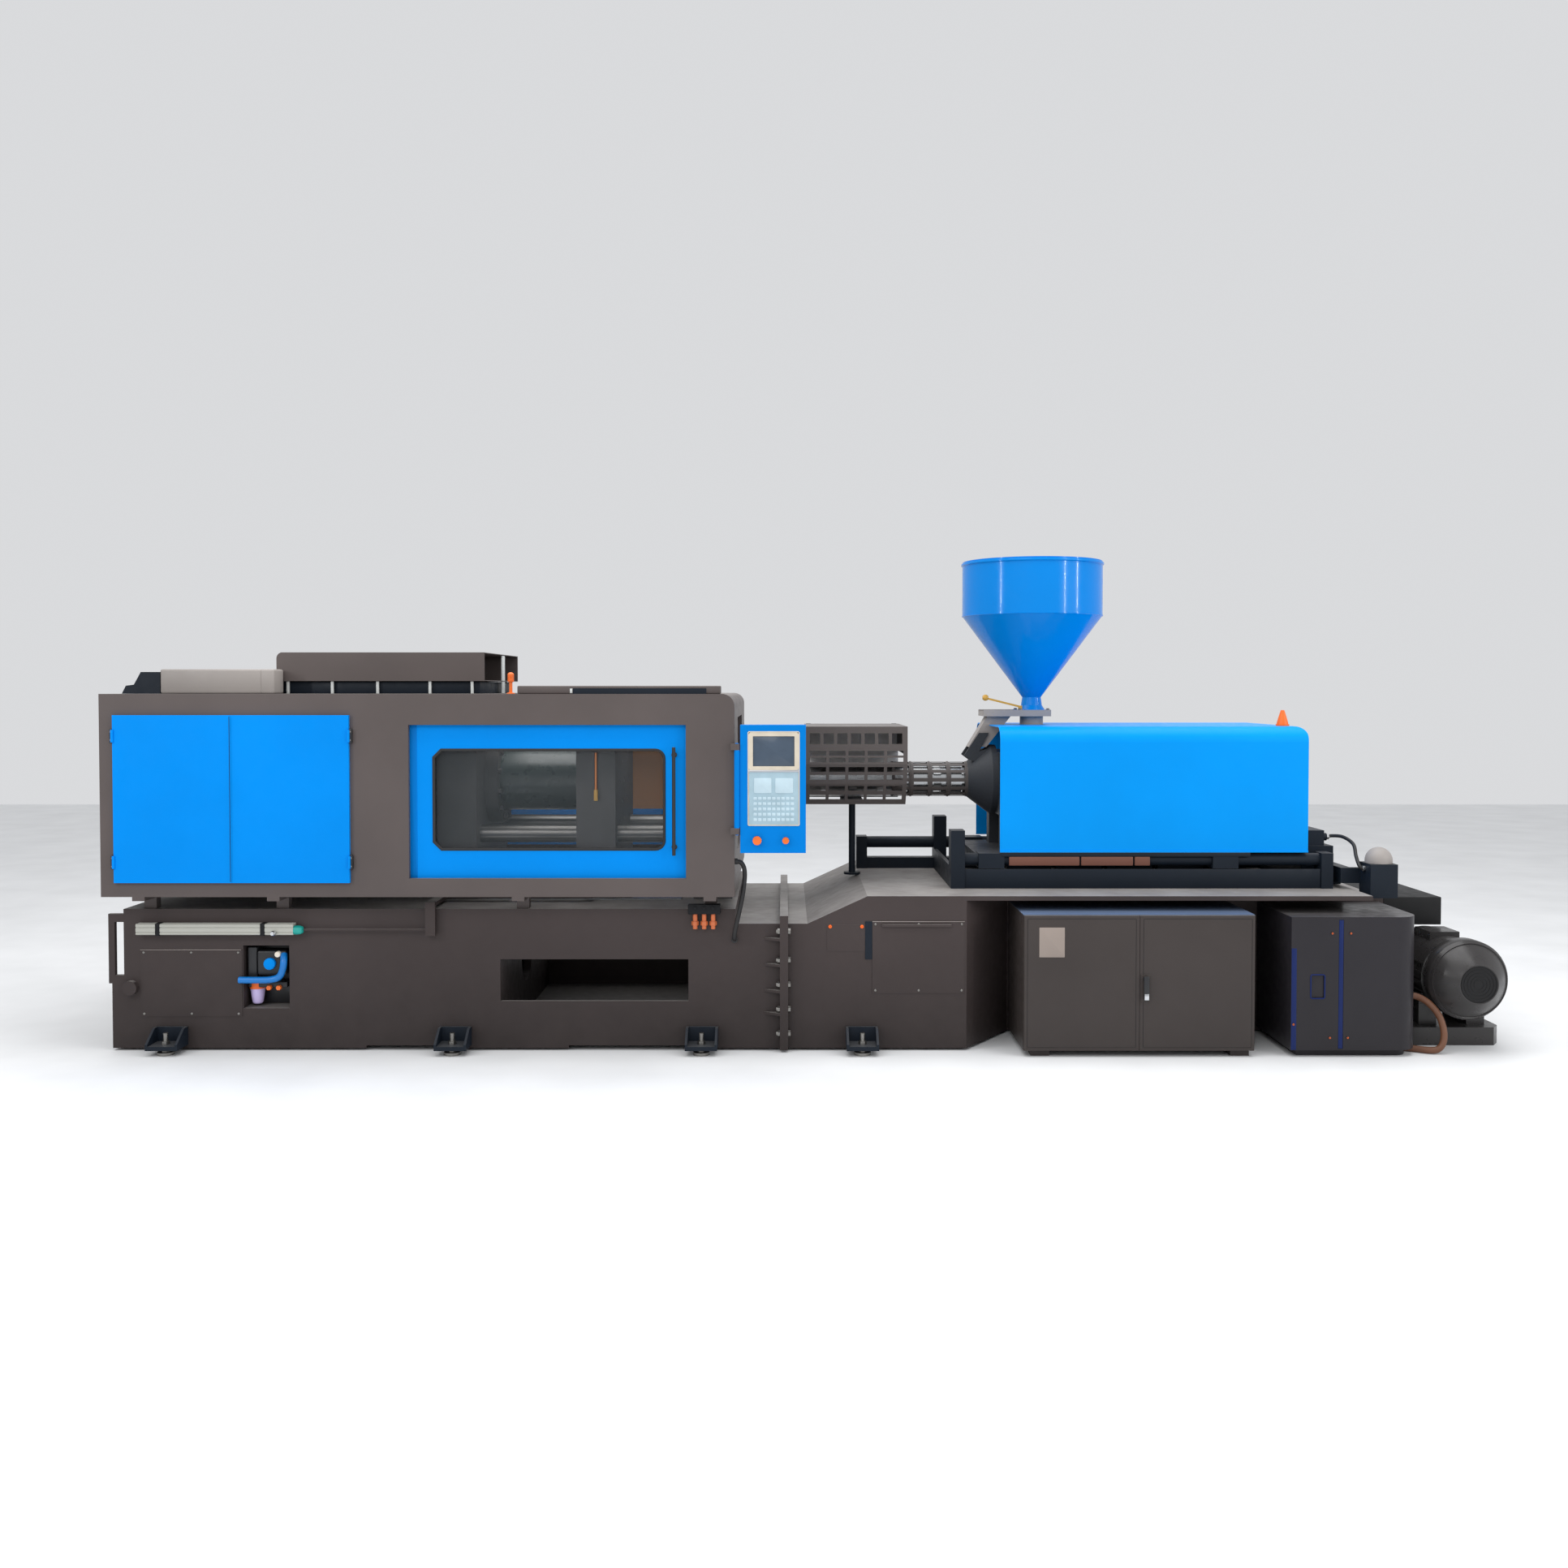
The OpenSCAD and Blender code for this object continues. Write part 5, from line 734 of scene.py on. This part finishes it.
def lubricator():
    """Air and oil service unit in its recess: blocks, regulator and gauge knobs, bowl, fittings and hose."""
    low, high = span("lubricator")
    x0 = low[0] - 0.008
    z0, z1 = low[2] - 0.012, high[2] + 0.020
    front = BED_FACE_Y
    back = front + 0.120
    inner = back - 0.010
    blocks = [front_panel((x0 + 0.006, x0 + 0.220), (z0 + 0.006, z1 - 0.006), inner, back, 0.006),
              rounded_box((x0 + 0.062, front + 0.016, z1 - 0.150), (x0 + 0.205, inner, z1 - 0.030), 0.008),
              rounded_box((x0 + 0.012, front + 0.024, z1 - 0.165), (x0 + 0.058, inner, z1 - 0.012), 0.006),
              rounded_box((x0 + 0.012, front + 0.030, z0 + 0.096), (x0 + 0.205, inner, z0 + 0.124), 0.005)]
    finish_piece("lubricator_body", *gathered(blocks), "plastic", "base", ("lubricator",),
                 slot="black_plastic")
    # Knob: 40 flutes, the radius stepping 2% up and down with the sign of cos(20 t)
    t = np.linspace(0.0, 2.0 * np.pi, 160, endpoint=False)
    fluted = 1.0 + 0.02 * np.sign(np.cos(20 * t))
    outline = np.stack([fluted * np.cos(t), fluted * np.sin(t)], axis=-1)
    rings = [upright((x0 + 0.127, z1 - 0.092) + radius * outline, front + depth)
             for depth, radius in ((0.018, 0.029), (0.002, 0.029), (-0.002, 0.0275), (-0.0045, 0.022))]
    finish_piece("lubricator_knob", *loft(rings), "blue", "base")
    gauge = turned([(0.0, -0.004), (0.012, -0.004), (0.0145, 0.0), (0.0145, 0.022), (0.0, 0.022)],
                   (x0 + 0.167, front + 0.001, z1 - 0.045), BACK, 32)
    finish_piece("lubricator_gauge", *gauge, "ivory", "base")
    bowl_foot = (x0 + 0.046, front + 0.066, z0)
    bowl = turned([(0.0, 0.012), (0.020, 0.012), (0.026, 0.018), (0.031, 0.050), (0.036, 0.088),
                   (0.0, 0.088)], bowl_foot, UP, 36)
    finish_piece("lubricator_bowl", *bowl, "lilac", "base")
    band = turned([(0.0, 0.088), (0.038, 0.088), (0.040, 0.091), (0.040, 0.117), (0.038, 0.120),
                   (0.0, 0.120)], bowl_foot, UP, 36)
    finish_piece("lubricator_band", *band, "orange_bright", "base")
    fitting = turned([(0.0, 0.0), (0.012, 0.0), (0.013, 0.002), (0.013, 0.022), (0.009, 0.026),
                      (0.009, 0.040), (0.0, 0.040)], ORIGIN, BACK, 6)
    fittings = repeated(fitting, [(x0 + d, front + 0.010, z0 + 0.098) for d in (0.118, 0.166)])
    finish_piece("lubricator_fittings", *fittings, "orange", "base")
    y = front - 0.010
    route = [(x0 - 0.018, y, z0 + 0.142), (x0 + 0.060, y, z0 + 0.141), (x0 + 0.135, y, z0 + 0.143),
             (x0 + 0.178, y, z0 + 0.158), (x0 + 0.196, y, z0 + 0.195), (x0 + 0.200, y + 0.004, z0 + 0.232),
             (x0 + 0.193, y + 0.030, z0 + 0.262)]
    finish_piece("lubricator_hose", *tube(smooth_path(route, 6), 0.0165, 16), "hose_blue", "base")


def oil_manifold():
    """Block with three plugs, over three orange fittings at the clamp bed's front."""
    low, high = span("oil_manifold")
    outlets = low[0] + 0.034 + 0.044 * np.arange(3)
    block = rounded_box((low[0], low[1], high[2] - 0.048), (high[0], BED_FACE_Y, high[2]), 0.003)
    plugs = repeated(hex_head(FRONT, 0.009, 0.007), [(x, low[1], high[2] - 0.017) for x in outlets])
    finish_piece("manifold_block", *gathered([block, plugs]), "black", "base", ("oil_manifold",),
                 slot="dark_paint")
    foot = turned([(0.0, 0.0), (0.010, 0.0), (0.011, 0.002), (0.011, 0.018), (0.0, 0.018)], ORIGIN, UP, 20)
    nut = turned([(0.0, 0.018), (0.0165, 0.018), (0.0178, 0.020), (0.0178, 0.036), (0.0165, 0.038),
                  (0.0, 0.038)], ORIGIN, UP, 6)
    stub = gathered([foot, nut, disc_turned(0.011, 0.038, 0.074, ORIGIN, UP, 20)])
    stubs = repeated(stub, [(x, low[1] + 0.020, low[2]) for x in outlets])
    finish_piece("manifold_fittings", *stubs, "orange_dull", "base")


def bed_covers():
    """Screws of the bed's covers and of the bare plate, the covers' bright upper edges and a seam strip."""
    face = BED_FACE_Y - 0.003
    places = [(x, face, z) for x in (-3.268, -3.035, -2.805) for z in (0.182, 0.484)]
    places += [(x, face, z) for x in (0.318, 0.53, 0.741) for z in (0.297, 0.623)]
    finish_piece("bed_cover_screws", *repeated(screw_head(0.006, 0.003), places), "bolt", "base")
    bare = repeated(screw_head(0.009, 0.005), [(x, BED_FACE_Y - 0.002, 0.611) for x in (0.096, 0.252)])
    finish_piece("bare_plate_screws", *bare, "orange_bright", "base")
    low, high = span("bed_covers")
    edges = [rounded_box((0.303, face - 0.002, high[2] - 0.003), (high[0], face + 0.001, high[2] + 0.001),
                         0.001, 2),
             rounded_box((low[0], face - 0.0015, 0.4955), (-2.790, face + 0.001, 0.4985), 0.001, 2)]
    finish_piece("bed_cover_edges", *gathered(edges), "worn_edge", "base")
    strip = front_panel((0.2675, 0.302), (0.450, high[2]), BED_FACE_Y - 0.004, BED_FACE_Y, 0.002)
    finish_piece("bed_seam_strip", *strip, "dark", "base")


def roof_casings():
    """Pale low casing with its stepped bracket, and the open-ended casing on thin legs over a dark curb."""
    low, high = span("low_casing")
    z = ROOF_Z + 0.0003
    shell = [rounded_box((-3.227, low[1], z), (-2.722, high[1], high[2]), 0.010),
             rounded_box((-2.730, low[1], z), (high[0], -0.462, high[2]), 0.010)]
    finish_piece("low_casing_shell", *gathered(shell), "casing", "base", ("low_casing",), slot="pale_paint")
    steps = np.array([(0.0, z), (0.020, 1.791), (0.060, 1.796), (0.095, 1.859), (0.1895, 1.859),
                      (0.1895, z)])
    steps[:, 0] += low[0]
    bracket = loft([upright(steps, y) for y in (low[1], low[1] + 0.060)])
    finish_piece("low_casing_bracket", *bracket, "dark", "base")
    x0, x1 = -2.702, -1.648
    z0, z1 = 1.815, span("high_casing")[1][2]
    half, wall, bend = 0.450, 0.004, 0.030
    outline = [(x0, z0), (x1, z0), (x1, z1)]
    outline += [(x0 + bend - bend * math.sin(a), z1 - bend + bend * math.cos(a))
                for a in np.linspace(0.0, np.pi / 2, 6)]
    sides = [loft([upright(outline, y) for y in pair])
             for pair in ((-half, wall - half), (half - wall, half))]
    plates = [((x0 + 0.020, z1 - wall), (x1, z1)), ((x0, z0), (x1, z0 + wall)),
              ((x0, z0 + wall), (x0 + wall, z1 - 0.022))]
    plates = [rounded_box((a[0], wall - half, a[1]), (b[0], half - wall, b[1]), 0.001, 2) for a, b in plates]
    finish_piece("high_casing_shell", *gathered(sides + plates), "guard", "base", ("high_casing",),
                 slot="guard_paint")
    legs = [rounded_box((x, y, ROOF_Z), (x + 0.014, y + 0.014, z0), 0.002, 2)
            for x in (-2.656, -2.431, -2.201, -1.935, -1.721) for y in (-0.440, 0.426)]
    post = rounded_box((x1 - 0.010, 0.020, ROOF_Z), (x1 - 0.002, 0.090, z1 - 0.006), 0.002, 2)
    finish_piece("high_casing_legs", *gathered(legs + [post]), "casing_pale", "base")
    add_plate("roof_curb", (x0 + 0.025, -0.420, ROOF_Z), (x1 - 0.030, 0.420, z0 - 0.003), 0.003, "dark",
              "base")


def operator_panel():
    """Cream bezel, display, key field with its keys, and collars round the two buttons."""
    face = PANEL_FACE_Y
    low, high = span("panel_screen")
    x = (low[0] + 0.0042, high[0] - 0.0042)
    z = (low[2] + 0.0037, high[2] - 0.0037)
    screen_x, screen_z = (-0.2790, -0.0800), (1.4040, 1.5480)
    bezel = frame_ring(screen_x, screen_z, 0.024, face - 0.0015, face + 0.004, 0.002)
    finish_piece("panel_bezel", *bezel, "cream", "panel")
    edge = frame_ring(x, z, 0.005, face - 0.003, face + 0.003, 0.003)
    finish_piece("panel_edge_trim", *edge, "cream", "panel")
    display = front_panel(screen_x, screen_z, face + 0.0035, face + 0.008, 0.002)
    finish_piece("panel_display", *display, "screen", "panel", ("panel_screen",), slot="screen_plastic")
    field = front_panel(x, (z[0], screen_z[0] - 0.005), face - 0.0008, face + 0.006, 0.002)
    finish_piece("panel_key_field", *field, "keys", "panel")
    add_plate("panel_lip", (x[0] - 0.002, face - 0.004, 1.3760),
              (x[1] + 0.002, face + 0.004, 1.3860), 0.002, "aluminium", "panel")
    large = [front_panel(key_x, (1.2750, 1.3480), face - 0.0030, face + 0.001, 0.006)
             for key_x in ((-0.274, -0.190), (-0.172, -0.086))]
    finish_piece("panel_large_keys", *gathered(large), "key_light", "panel")
    key = front_panel((-0.0085, 0.0085), (-0.007, 0.007), face - 0.0026, face + 0.001, 0.003)
    places = [(-0.268 + 0.0222 * i, 0.0, 1.148 + 0.0255 * k) for i in range(9) for k in range(5)]
    finish_piece("panel_keys", *repeated(key, places), "key_light", "panel")
    for name, button_x, r in (("stop", -0.259, 0.0215), ("start", -0.122, 0.0165)):
        rim = ring_turned([(r, 0.0), (r + 0.003, 0.0), (r + 0.003, 0.002), (r + 0.002, 0.003), (r, 0.003)],
                          (button_x, face, 1.049), FRONT, 32)
        finish_piece("panel_collar_" + name, *rim, "panel_blue", "panel")


def hopper_trim():
    """Rolled rim, weld seam and base bolts of the hopper, and the knob of its slide lever."""
    x = HOPPER_X
    top = (x, 0.0, span("hopper")[1][2] - 0.010)
    rim = ring_turned([(0.3722, -0.016), (0.3775, -0.013), (0.3785, -0.007), (0.3770, -0.002),
                       (0.3722, -0.001)], top, UP, 96)
    seam = ring_turned([(0.3718, -0.286), (0.3742, -0.285), (0.3742, -0.281), (0.3718, -0.280)], top, UP, 96)
    finish_piece("hopper_rim", *gathered([rim, seam]), "hopper_blue", "hopper")
    places = [(x + a, b, 1.6634) for a in (-0.074, 0.074) for b in (-0.076, 0.076)]
    finish_piece("hopper_base_bolts", *repeated(hex_head(UP, 0.009, 0.008), places), "bolt", "hopper")
    knob = turned([(0.0, -0.016), (0.010, -0.015), (0.015, -0.008), (0.017, 0.0), (0.015, 0.008),
                   (0.010, 0.015), (0.0, 0.016)], (x - 0.258, -0.070, 1.728), RIGHT, 32)
    finish_piece("lever_knob", *knob, "yellow", "lever")


def injection_unit_trim():
    """Beacon, filler strip and reddish blocks of the cover, the rails' front plate, a dark sheet of painted shade
    inside the cover, and thin pale linings.
    """
    low, high = span("injection_cover")
    front = low[1]
    beacon_foot = (high[0] - 0.090, front + 0.135, high[2] - 0.080)
    beacon = turned([(0.0, -0.0004), (0.0335, -0.0004), (0.0335, 0.0085), (0.0292, 0.0095), (0.0288, 0.014),
                     (0.0205, 0.044), (0.0112, 0.074), (0.0088, 0.0812), (0.0, 0.0815)], beacon_foot, UP, 40)
    finish_piece("cover_beacon", *beacon, "orange_bright", "carriage")
    # The strip ends short of the rails' stop, which it would meet with the carriage pulled back
    seat_z = low[2] - 0.0215
    add_plate("cover_filler_strip", (low[0] + 0.007, front - 0.0015, seat_z),
              (2.240, front + 0.0065, low[2] - 0.0005), 0.002, "dark", "carriage")
    blocks = [rounded_box((x0, front - 0.0025, seat_z - 0.0455), (x1, front + 0.0055, seat_z), 0.004, 2)
              for x0, x1 in ((1.014, 1.372), (1.380, 1.644), (1.652, 1.730))]
    finish_piece("cover_brown_blocks", *gathered(blocks), "brown", "carriage")
    add_plate("rail_front_plate", (0.7895, front + 0.0005, 0.7605),
              (2.598, front + 0.0045, 0.8595), 0.0015, "dark", "base")
    # Dark sheet on the inside of the cover's rear wall: painted shade where the cover's inside lies in shade
    add_plate("cover_inner_painted_shade", (low[0] + 0.001, high[1] - 0.0105, 0.965),
              (low[0] + 0.260, high[1] - 0.0080, 1.470), 0.001, "dark", "carriage")
    low, high = span("purge_guard")
    add_plate("purge_guard_liner", (low[0] + 0.006, 0.3028, 1.432),
              (high[0] - 0.006, 0.3054, high[2] - 0.012), 0.001, "liner", "purge")
    low, high = span("guard_stand")
    add_plate("stand_sheet_liner", (low[0] + 0.002, 0.3112, 1.170),
              (high[0] - 0.002, 0.3136, 1.440), 0.001, "liner", "base")


def electrical_cabinet():
    """Swing handle with its bright tip, blank plate, door lips and top sheet."""
    y = CABINET_FACE_Y
    swing = gathered([rounded_box((-0.013, -0.026, -0.072), (0.013, -0.016, 0.046), 0.004),
                      disc_turned(0.0125, -0.0165, -0.0045, (0.0, 0.0, 0.030), BACK, 24)])
    finish_piece("swing_handle", *repeated(swing, [(1.610, y, 0.350)]), "plastic", "cabinet_handle",
                 ("cabinet_handle",), slot="bright_chrome")
    add_plate("swing_handle_tip", (1.599, y - 0.0285, 0.282),
              (1.621, y - 0.0245, 0.312), 0.002, "chrome", "cabinet_handle")
    blank = front_panel((1.098, 1.2205), (0.484, 0.628), y - 0.0016, y, 0.003)
    finish_piece("blank_plate", *blank, "beige", "cabinet_left")
    for side, x in (("left", (1.0425, 1.5635)), ("right", (1.6005, 2.1215))):
        lip = frame_ring(x, (0.048, 0.669), 0.0015, y - 0.0012, y + 0.0005, 0.004)
        finish_piece("cabinet_lip_" + side, *lip, "black", "cabinet_" + side)
    low, high = span("cabinet_shell")
    add_plate("cabinet_top_sheet", (low[0], y + 0.0165, high[2] - 0.0015),
              (high[0], high[1] - 0.002, high[2] + 0.0025), 0.002, "cabinet_top", "base")


def service_cabinet():
    """Navy seal strip and panel gap, the pull with its recess, and orange screws."""
    y = CABINET_FACE_Y
    x0 = span("service_cabinet")[0][0]
    strip = front_panel((x0 + 0.001, x0 + 0.026), (0.036, 0.527), y - 0.0015, y + 0.001, 0.002)
    gap = front_panel((x0 + 0.229, x0 + 0.251), (0.042, 0.664), y + 0.0005, y + 0.0028, 0.002)
    finish_piece("service_blue_trim", *gathered([strip, gap]), "navy", "base")
    pull_x, pull_z = (x0 + 0.0975, x0 + 0.1585), (0.288, 0.397)
    pull = frame_ring(pull_x, pull_z, 0.006, y - 0.003, y + 0.001, 0.006)
    recess = front_panel(pull_x, pull_z, y + 0.0030, y + 0.0038, 0.004)
    finish_piece("service_pull", *pull, "navy", "base")
    finish_piece("service_pull_recess", *recess, "service", "base")
    places = [(x0 + dx, y, z) for dx, z in ((0.196, 0.600), (0.285, 0.600), (0.012, 0.160), (0.188, 0.095),
                                            (0.274, 0.095))]
    finish_piece("service_screws", *repeated(screw_head(0.0055, 0.0045), places), "orange_bright", "base")


def hydraulics_trim():
    """Tank cover, the filter's pale bowl, and the pump motor's cowl with its black end grille."""
    tank = rounded_box((2.9615, -0.3520, 0.5585), (3.2615, 0.7215, 0.7015), 0.004)
    finish_piece("tank_cover", *tank, "end_black", "base")
    foot_z = 0.915
    r = span("oil_filter")[1][2] - foot_z + 0.0006
    arc = np.linspace(0.15, math.pi / 2, 10)[:-1]
    bowl = [(0.0, -0.0140), (r, -0.0140), (r, 0.0)]
    bowl += [(r * math.cos(a), r * math.sin(a)) for a in arc] + [(0.0, r)]
    finish_piece("filter_bowl", *turned(bowl, (2.860, -0.530, foot_z), UP), "casing", "carriage")
    motor = (3.226, -0.830, 0.347)
    shell = [(0.090, 0.0), (0.095, 0.0), (0.0975, 0.002), (0.194, 0.1085), (0.197, 0.114), (0.197, 0.187),
             (0.1955, 0.190), (0.193, 0.190), (0.193, 0.114), (0.092, 0.004)]
    # The rib stands on the cone at radius r, at the height h that the cone has there
    r = 0.180
    h = (r - 0.0975) / 0.0965 * 0.1065 + 0.002
    rib = [(r, h), (r + 0.004, h - 0.002), (r + 0.009, h + 0.005), (r + 0.006, h + 0.008)]
    hub = [(0.0, 0.006), (0.092, 0.006), (0.092, 0.012), (0.060, 0.012), (0.060, 0.150), (0.0, 0.150)]
    cowl = [ring_turned(shell, motor, BACK, 72), ring_turned(rib, motor, BACK, 64), turned(hub, motor, BACK)]
    finish_piece("motor_cowl", *gathered(cowl), "motor", "base", ("fan_cowl",), slot="dark_paint")
    grille = [disc_turned(0.089, 0.0012, 0.0055, motor, BACK)]
    for r in (0.022, 0.038, 0.054, 0.070, 0.084):
        section = [(r, -0.0004), (r + 0.003, -0.0004), (r + 0.003, 0.0020), (r, 0.0020)]
        grille.append(ring_turned(section, motor, BACK))
    finish_piece("motor_end_grille", *gathered(grille), "end_black", "base")


def hoses():
    """Brown pump hose, guard conduit and the filter's hose, on the routes of their solids, with collars."""
    x, g = 2.935, -0.368
    pump = [(x + 0.006, -0.690, 0.265), (x + 0.050, -0.700, 0.262), (x + 0.095, -0.728, 0.235),
            (x + 0.132, -0.758, 0.180), (x + 0.146, -0.780, 0.110), (x + 0.138, -0.790, 0.055),
            (x + 0.112, -0.792, 0.024), (x + 0.070, -0.780, 0.017), (x + 0.025, -0.752, 0.017),
            (x - 0.031, -0.728, 0.017)]
    conduit = [(g + 0.004, -0.790, 0.940), (g + 0.034, -0.790, 0.930), (g + 0.048, -0.786, 0.880),
               (g + 0.038, -0.778, 0.780), (g + 0.018, -0.770, 0.680), (g, -0.764, 0.600),
               (g - 0.004, -0.750, 0.560), (g - 0.004, -0.724, 0.547)]
    v, f = 2.689, 2.860
    rear = [(v + 0.004, -0.280, 1.006), (v + 0.030, -0.288, 1.012), (v + 0.070, -0.330, 1.010),
            (v + 0.095, -0.400, 0.980), (v + 0.082, -0.470, 0.926), (f - 0.092, -0.520, 0.884),
            (f - 0.076, -0.530, 0.872)]
    jobs = [("pump_hose", pump, 0.016, "hose_brown", "base", ("hoses",), "medium"),
            ("guard_conduit", conduit, 0.011, "rubber", "base", (), "medium"),
            ("filter_hose", rear, 0.009, "rubber", "carriage", ("rear_hose",), "medium")]
    for name, route, radius, finish, body, stands_for, stiffness in jobs:
        line = smooth_path(route, 10)
        slot = "hose_rubber" if stands_for else None
        piece = finish_piece(name, *tube(line, radius, 20), finish, body, stands_for, slot=slot)
    ends = [collar((x, -0.690, 0.265), RIGHT, 0.020, 0.016),
            collar((x - 0.040, -0.728, 0.017), RIGHT, 0.0168, 0.016)]
    finish_piece("pump_hose_collars", *gathered(ends), "steel", "base")
    ends = [collar((g, -0.790, 0.940), RIGHT, 0.015, 0.014),
            collar((g - 0.004, -0.720, 0.547), FRONT, 0.015, 0.014)]
    finish_piece("guard_conduit_collars", *gathered(ends), "plastic", "base")
    ends = [collar((v, -0.280, 1.006), RIGHT, 0.014, 0.014),
            collar((f - 0.068, -0.530, 0.872), LEFT, 0.014, 0.014)]
    finish_piece("filter_hose_collars", *gathered(ends), "steel", "carriage")


def clamp_unit_trim():
    """Grease pipe with its fitting on the moving platen, and the blue rail across the rear window."""
    route = [(-1.088, -0.427, z) for z in (1.450, 1.360, 1.270, 1.215)]
    finish_piece("grease_pipe", *tube(smooth_path(route, 4), 0.008, 14), "copper", "clamp")
    add_plate("grease_fitting", (-1.098, -0.440, 1.205), (-1.078, -0.4205, 1.262), 0.003, "yellow", "clamp")
    low, high = span("rear_window")
    add_plate("rear_pane_rail", (low[0] + 0.004, low[1] - 0.0045, low[2] + 0.004),
              (high[0] - 0.004, low[1] - 0.0005, 1.062), 0.001, "blue", "rear_door")


sliding_doors()
cover_doors()
roof_details()
transducer()
lubricator()
oil_manifold()
bed_covers()
roof_casings()
operator_panel()
hopper_trim()
injection_unit_trim()
electrical_cabinet()
service_cabinet()
hydraulics_trim()
hoses()
clamp_unit_trim()
